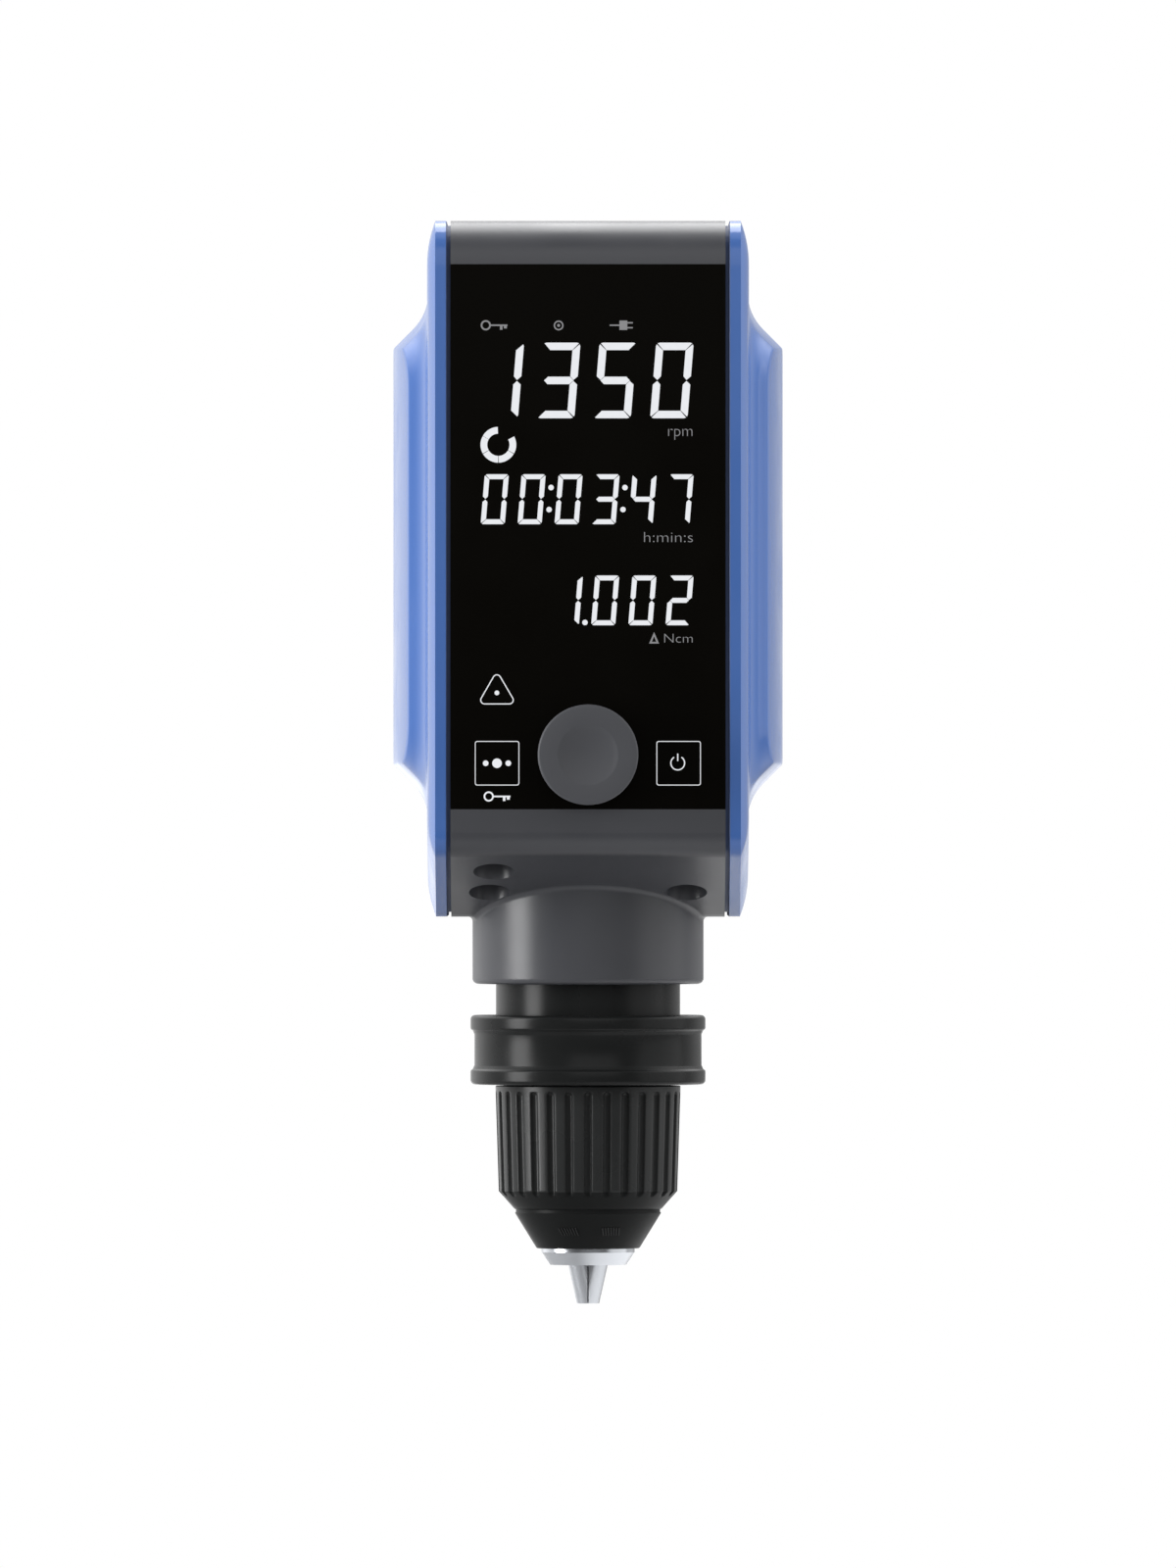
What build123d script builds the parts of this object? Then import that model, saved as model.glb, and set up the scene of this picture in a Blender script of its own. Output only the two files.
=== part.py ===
from build123d import *
from math import asin, cos, degrees, pi, radians, sin, sqrt, tan
import os

# Overhead laboratory stirrer: a slim cast head with a display front and flared side
# covers, a belt-driven hollow spindle, a sliding lock ring and a keyless chuck.
# Millimetres, +Z up. The operator stands at -Y. The origin is the middle of the
# chuck's nose face, on the spindle axis.

os.makedirs("parts", exist_ok=True)

# ---------------------------------------------------------------- clearances
BODY_GAP = 0.3  # between pieces that move past each other
RUNNING = 0.1  # radial clearance of a guided or turning fit
SEAT = 0.05  # radial clearance of a pressed or dropped-in seat
PAST = 1.0  # cuts and inner reaches run this far past what they meet
MERGE = 0.5  # depth to which one feature starts inside the next
TIP_ROOM = 0.5  # free hole past a screw's tip
NEAR = 0.01  # points this close lie on one face

# ---------------------------------------------------------------- head casting
HEAD_WIDTH = 63.0
SPINDLE_SETBACK = 48.0  # front face to spindle axis
BACK_REACH = 76.0  # spindle axis to back face
TOP_Z = 240.0
UNDER_Z = 80.3
CHIN_Z = 95.6  # where the sloped underside meets the front face
CHIN_SLOPE = 20.8
FRAME_WALL = 3.5
FRONT_WALL = 7.0  # front wall with the window's seat
TOP_FRONT_R = 10.0
TOP_BACK_R = 20.0
BACK_FOOT_R = 15.0
SLOPE_END_R = 8.0
CHIN_R = 6.0
INNER_R = 2.5  # least corner radius of an inner outline
NECK_R = 26.65
NECK_FOOT_Z = 64.8
NECK_FOOT_EDGE = 1.2

# ---------------------------------------------------------------- screws in the underside
SCREW_PCD = 64.0
WELL_R = 4.75
WELL_TOP_Z = 96.0
BOSS_R = 7.2
BOSS_TOP_Z = 101.0
M5_R = 2.5
M5_HEAD_R = 4.25
M5_HEAD = 5.0
M5_SOCKET = 3.0
THREAD_END = 1.0  # thread left free past a chassis screw
M3_R = 1.5
M3_HEAD_R = 2.75
M3_HEAD = 1.8
PROBE_X = -21.6
PROBE_Y = -35.3
PROBE_FACE_Z = 94.6
PROBE_LIP = 0.6
PROBE_FLANGE = 1.5
PROBE_PIN_PCR = 2.4
PROBE_PIN_R = 0.6
PROBE_PIN_DEPTH = 4.0

# ---------------------------------------------------------------- side covers
SHADOW_GAP = 0.9  # width of the groove between casting and cover
SHADOW_DEPTH = 1.1
RIM_WIDTH = 2.6
CROWN_RISE = 1.9
CROWN_RUN = 10.0
COVER_WALL = 2.4
POD_RISE = 8.1  # side bulge above the cover's face
POD_EDGE_DROP = 3.7  # the bulge's outer face falls this much to its crease
ARCH_PAST_CREASE = 1.1  # the arch is drawn this much longer than the bulge, then cut by its flanks
POD_MID_Y = 14.0
POD_LENGTH = 76.0  # crease to crease, front to back
POD_LOW_Z = 115.4
POD_TOP_DROP = 28.5  # top of the head to the bulge's upper crease
POD_CORNER_R = 7.5
POD_FLANK = 45.0
POD_ROOT_R = 12.0
LUG_R = 5.5
LUG_LENGTH = 4.0
PILLAR_STEP = 1.0  # the covers' pillars are this much slimmer than the lugs
COVER_SKIN = 1.0  # left outside a cover screw's hole

# ---------------------------------------------------------------- front
WINDOW_RISE = 9.5  # chin to the window's lower edge
WINDOW_TOP_DROP = 10.1  # top of the head to the window's upper edge
WINDOW_THICK = 2.4
GASKET_THICK = 0.5
SIDE_LEDGE = 4.0
END_LEDGE = 3.0
DISPLAY_WIDTH = 53.0
CONTROLS_HEIGHT = 28.8  # part of the window kept for the knob and the keys
DISPLAY_THICK = 4.2
DISPLAY_BORDER = 1.5
DISPLAY_EDGE = 1.0  # ledge to display
BOARD_THICK = 1.6
BOARD_OVERHANG = 1.0
BOARD_EDGE = 1.0  # board's side edge to a screw head
BOARD_SCREW_INSET = 0.5  # window's end to the line of the board screws
KNOB_RISE = 12.5  # window's lower edge to the knob's centre
KNOB_R = 11.5
KNOB_LENGTH = 10.8
KNOB_EDGE = 0.6
KNOB_TRAVEL = 0.8
KNOB_WEB = 3.0  # solid front of the knob
KNOB_RECESS = 3.6
KNOB_RECESS_ROOM = 1.5  # recess around the bushing
DIMPLE_R = 6.65
DIMPLE_DEPTH = 0.5
BUSHING_R = 3.5
BUSHING_REACH = 2.6  # in front of the window
ENCODER_SIZE = 12.4
ENCODER_SHAFT_R = 2.5
ENCODER_WALL = 1.0
ENCODER_FLOOR = 0.4
PLUNGER_STEP = 1.7
PLUNGER_WIDTH = 1.6
KEY_OFFSET = 20.7
KEY_DROP = 2.1  # below the knob's centre
KEY_SIZE = 9.5
SWITCH_SIDE = 6.0
SWITCH_PIN = 1.0
SWITCH_PIN_R = 1.7
KEY_TRAVEL = 0.4
KEY_FLANGE = 0.8
KEY_LIP = 1.0

# ---------------------------------------------------------------- spindle and bearings
SHAFT_R = 8.5
THROUGH_R = 5.25
BEARING_R = 17.5
BEARING_WIDTH = 10.0
BEARING_GAP_R = 11.4
BEARING_SINK = 1.0  # upper bearing below the shelf's top
CHASSIS_R = 23.0
CHASSIS_BORE_R = 15.0
FLANGE_SIZE = 57.0
FLANGE_THICK = 6.0
BARREL_R = 20.0
SHELF_EDGE = 2.0  # shelf around the barrel
SHELF_DROP = 90.0  # top of the head to the drive's shelf
SHELF_THICK = 5.0
GUIDE_WALL = 1.0
CAP_R = 8.7
CAP_THICK = 1.6
CAP_PLUG = 8.0

# ---------------------------------------------------------------- toothed belt drive
BELT_PITCH = 5.0
SPINDLE_TEETH = 36
MOTOR_TEETH = 12
BELT_TEETH = 44
BELT_WIDTH = 8.0
BELT_BACK = 1.0
TOOTH_BURIED = 0.2  # tooth root inside the belt's back
GROOVE_FLARE = 1.4
GROOVE_PAST = 0.6
TOOTH_HEIGHT = 1.2
TOOTH_ROOT = 2.65
TOOTH_TIP = 1.8
PITCH_LINE = 0.4  # pitch line above the belt's tooth side
PULLEY_LIFT = 3.0  # shelf to pulley
FLANGE_RISE = 1.4
PULLEY_FLANGE = 1.0
FLANGE_LIP = 0.8  # motor pulley's flange past the belt's back
PULLEY_SPARE = 2.0  # pulley height past the belt's width
PULLEY_FLOOR = 3.0
PULLEY_RIM = 5.0
PULLEY_HUB = 5.0
PULLEY_HOLES = 6
PULLEY_HOLE_R = 3.4
SHAFT_REACH = 3.0  # spindle above its pulley
CLIP_WIDTH = 1.8
CLIP_THICK = 1.2
CLIP_MOUTH = 5.0

# ---------------------------------------------------------------- motor
MOTOR_R = 21.0
MOTOR_WALL = 1.5
MOTOR_CLEAR = 3.0  # chassis flange to the motor's end cap
MOTOR_CAP = 4.0
MOTOR_SHAFT_R = 2.5
MOTOR_BEARING_R = 8.0
MOTOR_BEARING = 5.0
MOTOR_BEARING_SINK = 1.0  # lower bearing inside the end cap
MOTOR_BEARING_WALL = 2.0
MOTOR_HOLE_STEP = 1.0  # shelf's hole around the motor bearing
STATOR_ROOM = 10.0  # motor's ends to its stator
STATOR_YOKE = 3.0
STATOR_SLOTS = 9
STATOR_TOOTH = 3.2
TOOTH_SHOE = 1.8
AIR_GAP = 0.6
MAGNET_R = 9.8
COIL_WALL = 1.5
COIL_GAP = 0.2
MAGNET_OVERHANG = 1.0
MOTOR_SCREW_PCD = 26.0
MOTOR_SCREW_DEPTH = 4.0

# ---------------------------------------------------------------- lock ring and hub
HUB_R = 21.25
HUB_FLANGE = 3.0
HUB_FOOT_Z = 52.3
SEAL_R = 12.0
SEAL_HEIGHT = 4.0
SEAL_DROP = 1.0  # lower bearing to seal
RING_LOW_Z = 41.6
RING_HEIGHT = 16.0
RING_R = 27.1
BAND_R = 26.2
RIM_HEIGHT = 3.4
RING_EDGE = 0.7
LOCK_TRAVEL = 6.0
LOCK_KEYS = 12
KEY_WIDTH = 3.0
KEY_DEPTH = 2.2
KEY_ROOT = 1.0  # lock key inside the ring's wall
LOCK_KEY_Z = 43.6
LOCK_KEY_HEIGHT = 7.7

# ---------------------------------------------------------------- chuck
NOSE_FACE_R = 8.9
NOSE_R = 10.8
NOSE_CHAMFER = 2.9
CHUCK_TOP_Z = 48.0
CHUCK_R = 17.7
NUT_Z = 18.5
NUT_HEIGHT = 8.0
NUT_GROOVE_R = 9.3
NUT_PLAY = 0.2
SOCKET_Z = 41.0
COLLAR_FOOT_Z = 42.0
COLLAR_PLAY = 0.2
COLLAR_LIP = 1.0
SLEEVE_TOP_Z = 41.3
SLEEVE_TOP_R = 21.37
SLEEVE_WAIST_R = 20.6
SLEEVE_WAIST_Z = 17.0
SLEEVE_FOOT_R = 16.9
SLEEVE_FOOT_Z = 12.8
SLEEVE_SHOULDER = 1.0
FLUTES = 30
FLUTE_WIDTH = 1.9
FLUTE_DEPTH = 0.95
FLUTE_TOP_Z = 40.0
FLUTE_RUNOUT = 4.0
NOSE_RING_Z = 3.8
NOSE_RING_FOOT_R = 11.8
NOSE_GROOVE = 0.7
NOSE_GROOVE_R = 16.65
SPIGOT_R = 14.5
JAW_R = 3.0
JAW_TILT = 14.4
JAW_AXIS_R = 1.73  # jaw axis to spindle axis at the nose face, closed
JAW_TIP_Z = -8.9
JAW_TOP_Z = 28.0
JAW_SEAM = 0.26
JAW_BLANK = 4.0  # jaw rods and their bores are made this much longer

# ---------------------------------------------------------------- back
ARM_R = 6.5
ARM_LENGTH = 160.0
ARM_CHAMFER = 1.0
ARM_BOARD_DROP = 14.0  # main board's lower edge to the rod's axis
ARM_STUD_R = 4.0
ARM_STUD = 15.0
ARM_BOSS_R = 10.5
ARM_BOSS_END = 2.0  # solid end of the boss past the stud
MAIN_BOARD_WIDTH = 48.0
MAIN_BOARD_HEIGHT = 36.0
MAIN_BOARD_TOP_DROP = 8.0
CAPACITOR_R = 5.0
CAPACITOR_HEIGHT = 14.0
CAPACITOR_RISE = 8.0
CAPACITORS_X = (2.0, 13.5)
CHIP_SIDE = 7.0
CHIP_THICK = 2.0
CHIP_DROP = 8.0
CHIPS_X = (-4.0, 6.0, 16.0)
POST_R = 3.2
POST_LENGTH = 15.0
MAIN_SCREW_DEPTH = 6.0
JACK_X = -13.0
JACK_SIZE = 9.0
JACK_DEPTH = 9.0
JACK_HOLE_R = 2.8
JACK_PIN_R = 1.0
USB_X = 12.0
USB_WIDTH = 8.0
USB_HEIGHT = 3.0
USB_DEPTH = 6.0
USB_SHELL = 0.5
RIBBON_X = -18.0
RIBBON_WIDTH = 14.0
RIBBON_THICK = 0.8
RIBBON_DROP = 6.0  # front plug below the rear one
RIBBON_PLUG = 5.0
RIBBON_EDGE = 1.0
RIBBON_BURIED = 2.0  # ribbon's end inside its plug
RIBBON_FRONT_RUN = 20.0
RIBBON_BACK_RUN = 24.0
RIBBON_BEND = 12.0

# ---------------------------------------------------------------- places worked out from the above
FRONT_Y = -SPINDLE_SETBACK
BACK_Y = BACK_REACH
SLOPE = tan(radians(CHIN_SLOPE))
HALF_WIDTH = HEAD_WIDTH / 2
RIM_X = HALF_WIDTH + SHADOW_GAP
CROWN_X = RIM_X + RIM_WIDTH
FACE_X = CROWN_X + CROWN_RISE
POD_X = FACE_X + POD_RISE
WINDOW_LOW_Z = CHIN_Z + WINDOW_RISE
WINDOW_HIGH_Z = TOP_Z - WINDOW_TOP_DROP
WINDOW_HEIGHT = WINDOW_HIGH_Z - WINDOW_LOW_Z
DISPLAY_HEIGHT = WINDOW_HEIGHT - CONTROLS_HEIGHT
WINDOW_MID_Z = (WINDOW_LOW_Z + WINDOW_HIGH_Z) / 2
WINDOW_BACK_Y = FRONT_Y + WINDOW_THICK
BOARD_Y = FRONT_Y + FRONT_WALL
KNOB_Z = WINDOW_LOW_Z + KNOB_RISE
KEY_Z = KNOB_Z - KEY_DROP
KNOB_BACK_Y = FRONT_Y - KNOB_TRAVEL - BODY_GAP - RUNNING
SCREW_REACH = SCREW_PCD / 2 * cos(radians(45))
SCREW_PLACES = [(x, y) for x in (-SCREW_REACH, SCREW_REACH) for y in (-SCREW_REACH, SCREW_REACH)]
LUG_REACH = FRAME_WALL + LUG_R - MERGE
LUG_PLACES = [
    (FRONT_Y + TOP_FRONT_R * 2, TOP_Z - LUG_REACH),
    (BACK_Y - TOP_BACK_R, TOP_Z - LUG_REACH),
    (BACK_Y - BACK_FOOT_R, UNDER_Z + LUG_REACH),
    (BOARD_Y + LUG_R - MERGE, WINDOW_LOW_Z + LUG_R),
]
LOWER_BEARING_Z = NECK_FOOT_Z + HUB_FLANGE
SHELF_Z = TOP_Z - SHELF_DROP
SHELF_TOP_Z = SHELF_Z + SHELF_THICK
POD_HIGH_Z = TOP_Z - POD_TOP_DROP
MAIN_BOARD_HIGH_Z = TOP_Z - MAIN_BOARD_TOP_DROP
MAIN_BOARD_LOW_Z = MAIN_BOARD_HIGH_Z - MAIN_BOARD_HEIGHT
ARM_Z = MAIN_BOARD_LOW_Z - ARM_BOARD_DROP
UPPER_BEARING_Z = SHELF_TOP_Z - BEARING_WIDTH - BEARING_SINK
PULLEY_Z = SHELF_TOP_Z + PULLEY_LIFT
PULLEY_TOP_Z = PULLEY_Z + BELT_WIDTH + PULLEY_SPARE
SHAFT_TOP_Z = PULLEY_TOP_Z + SHAFT_REACH
SPINDLE_PITCH_R = SPINDLE_TEETH * BELT_PITCH / (2 * pi)
MOTOR_PITCH_R = MOTOR_TEETH * BELT_PITCH / (2 * pi)


def belt_length(centres):
    """Length of the pitch line around both pulleys, for a distance between their centres."""
    lean = asin((SPINDLE_PITCH_R - MOTOR_PITCH_R) / centres)
    straight = sqrt(centres**2 - (SPINDLE_PITCH_R - MOTOR_PITCH_R) ** 2)
    return 2 * straight + SPINDLE_PITCH_R * (pi + 2 * lean) + MOTOR_PITCH_R * (pi - 2 * lean)


# The belt's whole number of teeth sets how far the motor stands behind the spindle.
MOTOR_Y = 2 * MOTOR_R
for _ in range(20):
    MOTOR_Y += (BELT_TEETH * BELT_PITCH - belt_length(MOTOR_Y)) / 2
BELT_LEAN = asin((SPINDLE_PITCH_R - MOTOR_PITCH_R) / MOTOR_Y)
BELT_STRAIGHT = MOTOR_Y * cos(BELT_LEAN)
MOTOR_PLACE = (0.0, MOTOR_Y)
MOTOR_LOW_Z = BOSS_TOP_Z + FLANGE_THICK + MOTOR_CLEAR
MOTOR_HEIGHT = SHELF_Z - MOTOR_LOW_Z
STATOR_LOW_Z = MOTOR_LOW_Z + STATOR_ROOM
STATOR_HEIGHT = MOTOR_HEIGHT - 2 * STATOR_ROOM
MOTOR_BEARING_Z = MOTOR_LOW_Z + MOTOR_CAP - MOTOR_BEARING_SINK


def side_outline(inset=0.0):
    """Side view of the head (Y across, Z up), with its walls moved in by inset."""
    lean = inset * sqrt(1 + SLOPE**2)
    slope_end_y = FRONT_Y + (CHIN_Z - UNDER_Z + lean - inset) / SLOPE
    corners = [
        (FRONT_Y + inset, TOP_Z - inset),
        (BACK_Y - inset, TOP_Z - inset),
        (BACK_Y - inset, UNDER_Z + inset),
        (slope_end_y, UNDER_Z + inset),
        (FRONT_Y + inset, CHIN_Z + lean - inset * SLOPE),
    ]
    rounds = (TOP_FRONT_R, TOP_BACK_R, BACK_FOOT_R, SLOPE_END_R, CHIN_R)
    with BuildSketch() as outline:
        with BuildLine():
            FilletPolyline(*corners, radius=[max(r - inset, INNER_R) for r in rounds], close=True)
        make_face()
    return outline.sketch


def disc(z, outer_r, inner_r=0.0, centre=(0.0, 0.0)):
    """Level disc or ring at height z, ready to extrude upward."""
    with BuildSketch(Plane.XY.offset(z)) as face:
        with Locations(centre):
            Circle(outer_r)
            if inner_r:
                Circle(inner_r, mode=Mode.SUBTRACT)
    return face.sketch


def half_section(*points):
    """Closed profile of (radius, height) points, ready to revolve about the spindle axis."""
    with BuildSketch(Plane.XZ) as section:
        with BuildLine():
            Polyline(*points, close=True)
        make_face()
    return section.sketch


def front_face(y, width, height, z, x=0.0, corner=0.0):
    """Upright rectangle that faces +Y at depth y, ready to extrude backward."""
    with BuildSketch(Plane((x, y, z), x_dir=(-1, 0, 0), z_dir=(0, 1, 0))) as face:
        if corner:
            RectangleRounded(width, height, corner)
        else:
            Rectangle(width, height)
    return face.sketch


def front_disc(y, radius, x, z, inner_r=0.0):
    """Upright disc or ring that faces +Y at depth y, ready to extrude backward."""
    with BuildSketch(Plane((x, y, z), x_dir=(-1, 0, 0), z_dir=(0, 1, 0))) as face:
        Circle(radius)
        if inner_r:
            Circle(inner_r, mode=Mode.SUBTRACT)
    return face.sketch


def lug_discs(x, radius):
    """Discs at the four cover fixings, facing +X at the given x."""
    with BuildSketch(Plane.YZ.offset(x)) as faces:
        with Locations(*LUG_PLACES):
            Circle(radius)
    return faces.sketch


# ================================================================ head: casting and covers
# The casting is a loop that is open at both sides, with the neck below it. The board
# posts, arm socket, screw bosses and cover lugs stand inside the same loop.
with BuildPart() as central_frame:
    with BuildSketch(Plane.YZ.offset(-HALF_WIDTH)):
        add(side_outline())
    extrude(amount=HEAD_WIDTH)
    extrude(disc(NECK_FOOT_Z, NECK_R), amount=UNDER_Z + FRAME_WALL - NECK_FOOT_Z)
    chamfer(central_frame.edges().group_by(Axis.Z)[0], NECK_FOOT_EDGE)
    with BuildSketch(Plane.YZ.offset(-HALF_WIDTH)):
        add(side_outline(FRAME_WALL))
        with Locations((FRONT_Y, WINDOW_MID_Z)):
            Rectangle(2 * FRONT_WALL, 2 * TOP_Z, mode=Mode.SUBTRACT)
    extrude(amount=HEAD_WIDTH, mode=Mode.SUBTRACT)
    # inner collar and screw bosses around the neck
    extrude(disc(UNDER_Z + PAST, NECK_R), amount=BOSS_TOP_Z - UNDER_Z - PAST)
    with BuildSketch(Plane.XY.offset(UNDER_Z + FRAME_WALL / 2)):
        with Locations(*[(x, y) for x, y in SCREW_PLACES if y > 0]):
            Circle(BOSS_R)
    extrude(amount=BOSS_TOP_Z - UNDER_Z - FRAME_WALL / 2)
    with BuildSketch(Plane.XY.offset(CHIN_Z - PAST)):
        with Locations(*[(x, y) for x, y in SCREW_PLACES if y < 0], (PROBE_X, PROBE_Y)):
            Circle(BOSS_R)
    extrude(amount=BOSS_TOP_Z - CHIN_Z + PAST)
    # lugs for the cover screws
    extrude(lug_discs(HALF_WIDTH - LUG_LENGTH, LUG_R), amount=LUG_LENGTH)
    extrude(lug_discs(-HALF_WIDTH, LUG_R), amount=LUG_LENGTH)
    extrude(lug_discs(-HALF_WIDTH, M3_R + SEAT), amount=HEAD_WIDTH, mode=Mode.SUBTRACT)
    # arm boss and board posts on the back wall
    extrude(front_disc(BACK_Y - ARM_STUD - ARM_BOSS_END, ARM_BOSS_R, 0, ARM_Z), amount=ARM_STUD)
    for post_x in (-1, 1):
        for post_z in (MAIN_BOARD_LOW_Z + POST_R, MAIN_BOARD_HIGH_Z - POST_R):
            post_centre = post_x * (MAIN_BOARD_WIDTH / 2 - POST_R)
            extrude(
                front_disc(BACK_Y - FRAME_WALL - POST_LENGTH, POST_R, post_centre, post_z, M3_R),
                amount=POST_LENGTH + MERGE,
            )
    # window seat and the opening behind it
    extrude(
        front_face(FRONT_Y, HEAD_WIDTH, WINDOW_HEIGHT, WINDOW_MID_Z),
        amount=WINDOW_THICK + GASKET_THICK,
        mode=Mode.SUBTRACT,
    )
    extrude(
        front_face(
            FRONT_Y,
            HEAD_WIDTH - 2 * SIDE_LEDGE,
            WINDOW_HEIGHT - 2 * END_LEDGE,
            WINDOW_MID_Z,
        ),
        amount=FRONT_WALL,
        mode=Mode.SUBTRACT,
    )
    # bore of the neck, wells and screw holes, probe socket
    extrude(
        disc(NECK_FOOT_Z, CHASSIS_R + SEAT),
        amount=BOSS_TOP_Z - NECK_FOOT_Z,
        mode=Mode.SUBTRACT,
    )
    with BuildSketch(Plane.XY.offset(UNDER_Z - PAST)):
        with Locations(*SCREW_PLACES):
            Circle(WELL_R)
    extrude(amount=WELL_TOP_Z - UNDER_Z + PAST, mode=Mode.SUBTRACT)
    with BuildSketch(Plane.XY.offset(UNDER_Z)):
        with Locations(*SCREW_PLACES):
            Circle(M5_R + SEAT)
        with Locations((PROBE_X, PROBE_Y)):
            Circle(WELL_R)
    extrude(amount=BOSS_TOP_Z - UNDER_Z, mode=Mode.SUBTRACT)
    # arm thread, power and data sockets, cap seat and guide hole
    extrude(
        front_disc(BACK_Y - ARM_STUD, ARM_STUD_R + SEAT, 0, ARM_Z),
        amount=ARM_STUD,
        mode=Mode.SUBTRACT,
    )
    extrude(
        front_face(
            BACK_Y - FRAME_WALL,
            JACK_SIZE + 2 * SEAT,
            JACK_SIZE + 2 * SEAT,
            (MAIN_BOARD_LOW_Z + MAIN_BOARD_HIGH_Z) / 2,
            JACK_X,
        ),
        amount=FRAME_WALL,
        mode=Mode.SUBTRACT,
    )
    extrude(
        front_face(
            BACK_Y - FRAME_WALL,
            USB_WIDTH + 2 * SEAT,
            USB_HEIGHT + 2 * SEAT,
            (MAIN_BOARD_LOW_Z + MAIN_BOARD_HIGH_Z) / 2,
            USB_X,
        ),
        amount=FRAME_WALL,
        mode=Mode.SUBTRACT,
    )
    extrude(disc(TOP_Z - CAP_THICK, CAP_R + BODY_GAP), amount=CAP_THICK, mode=Mode.SUBTRACT)
    extrude(
        disc(TOP_Z - FRAME_WALL, THROUGH_R + GUIDE_WALL + 2 * SEAT),
        amount=FRAME_WALL,
        mode=Mode.SUBTRACT,
    )
central_frame.part.label = "central_frame"
export_step(central_frame.part, "parts/central_frame.step")


def pod_section(grow):
    """Outline of the side bulge on its own plane, grown all round by grow.

    The long edges bow out as much as the bulge's face is arched, so that the crease
    between face and flank runs level.
    """
    half = POD_LENGTH / 2 - POD_EDGE_DROP + grow
    low = POD_LOW_Z + POD_EDGE_DROP - grow
    high = POD_HIGH_Z - POD_EDGE_DROP + grow
    with BuildSketch() as section:
        with BuildLine():
            top = ThreePointArc(
                (POD_MID_Y - half, high),
                (POD_MID_Y, high + POD_EDGE_DROP),
                (POD_MID_Y + half, high),
            )
            Line(top @ 1, (POD_MID_Y + half, low))
            bottom = ThreePointArc(
                (POD_MID_Y + half, low),
                (POD_MID_Y, low - POD_EDGE_DROP),
                (POD_MID_Y - half, low),
            )
            Line(bottom @ 1, top @ 0)
        make_face()
        fillet(section.vertices(), POD_CORNER_R)
    return section.sketch


def arch_plan(thin):
    """Plan view of the space under the bulge's arched face, thinner by thin."""
    half = POD_LENGTH / 2 * ARCH_PAST_CREASE
    arch_end_x = POD_X - thin - POD_EDGE_DROP * ARCH_PAST_CREASE**2
    foot_half = POD_LENGTH / 2 + POD_RISE
    with BuildSketch(Plane.XY.offset(UNDER_Z)) as plan:
        with BuildLine():
            arch = ThreePointArc(
                (arch_end_x, POD_MID_Y - half),
                (POD_X - thin, POD_MID_Y),
                (arch_end_x, POD_MID_Y + half),
            )
            Polyline(
                arch @ 1,
                (FACE_X, POD_MID_Y + foot_half),
                (HALF_WIDTH, POD_MID_Y + foot_half),
                (HALF_WIDTH, POD_MID_Y - foot_half),
                (FACE_X, POD_MID_Y - foot_half),
                arch @ 0,
            )
        make_face()
    return plan.sketch


def pod_blank(thin, foot_x):
    """The bulge as a solid: sloping flanks under an arched outer face."""
    with BuildPart() as blank:
        with BuildSketch(Plane.YZ.offset(POD_X)):
            add(pod_section(-thin * sqrt(2)))
        extrude(amount=foot_x - POD_X, taper=-POD_FLANK)
        extrude(arch_plan(thin), amount=TOP_Z - UNDER_Z, mode=Mode.INTERSECT)
    return blank.part


def on_pod_root(edge):
    """True for the edges where the bulge's flanks meet the cover's face."""
    points = [edge @ 0, edge @ 0.5, edge @ 1]
    on_face = all(abs(p.X - FACE_X) < NEAR for p in points)
    reach = POD_LENGTH / 2 + POD_RISE + PAST
    return on_face and all(abs(p.Y - POD_MID_Y) < reach for p in points)


# Each cover is a moulded shell: a lip that sets the shadow groove, a rim level with the
# casting, a crowned face and the arched bulge, which flows into the face.
with BuildPart() as right_side_cover:
    with BuildSketch(Plane.YZ.offset(HALF_WIDTH)):
        add(side_outline(SHADOW_DEPTH))
    extrude(amount=SHADOW_GAP)
    with BuildSketch(Plane.YZ.offset(RIM_X)):
        add(side_outline())
    extrude(amount=RIM_WIDTH)
    crown_r = (CROWN_RUN**2 + CROWN_RISE**2) / (2 * CROWN_RISE)
    for step in range(4):
        run = CROWN_RUN * (1 - step / 3)
        drop = crown_r - sqrt(crown_r**2 - run**2)
        with BuildSketch(Plane.YZ.offset(FACE_X - drop)):
            add(side_outline(CROWN_RUN - run))
    loft(ruled=True)
    add(pod_blank(0.0, FACE_X))
    fillet(right_side_cover.edges().filter_by(on_pod_root), POD_ROOT_R)
    with BuildSketch(Plane.YZ.offset(HALF_WIDTH)):
        add(side_outline(SHADOW_DEPTH + COVER_WALL))
    extrude(amount=FACE_X - COVER_WALL - HALF_WIDTH, mode=Mode.SUBTRACT)
    add(pod_blank(COVER_WALL, FACE_X - COVER_WALL - MERGE), mode=Mode.SUBTRACT)
    extrude(lug_discs(HALF_WIDTH, LUG_R - PILLAR_STEP), amount=FACE_X - COVER_WALL + MERGE - HALF_WIDTH)
    extrude(
        lug_discs(HALF_WIDTH, M3_R + SEAT),
        amount=FACE_X - COVER_SKIN - HALF_WIDTH,
        mode=Mode.SUBTRACT,
    )
right_side_cover.part.label = "right_side_cover"
export_step(right_side_cover.part, "parts/right_side_cover.step")

with BuildPart() as left_side_cover:
    mirror(right_side_cover.part, about=Plane.YZ)
left_side_cover.part.label = "left_side_cover"
export_step(left_side_cover.part, "parts/left_side_cover.step")

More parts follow.
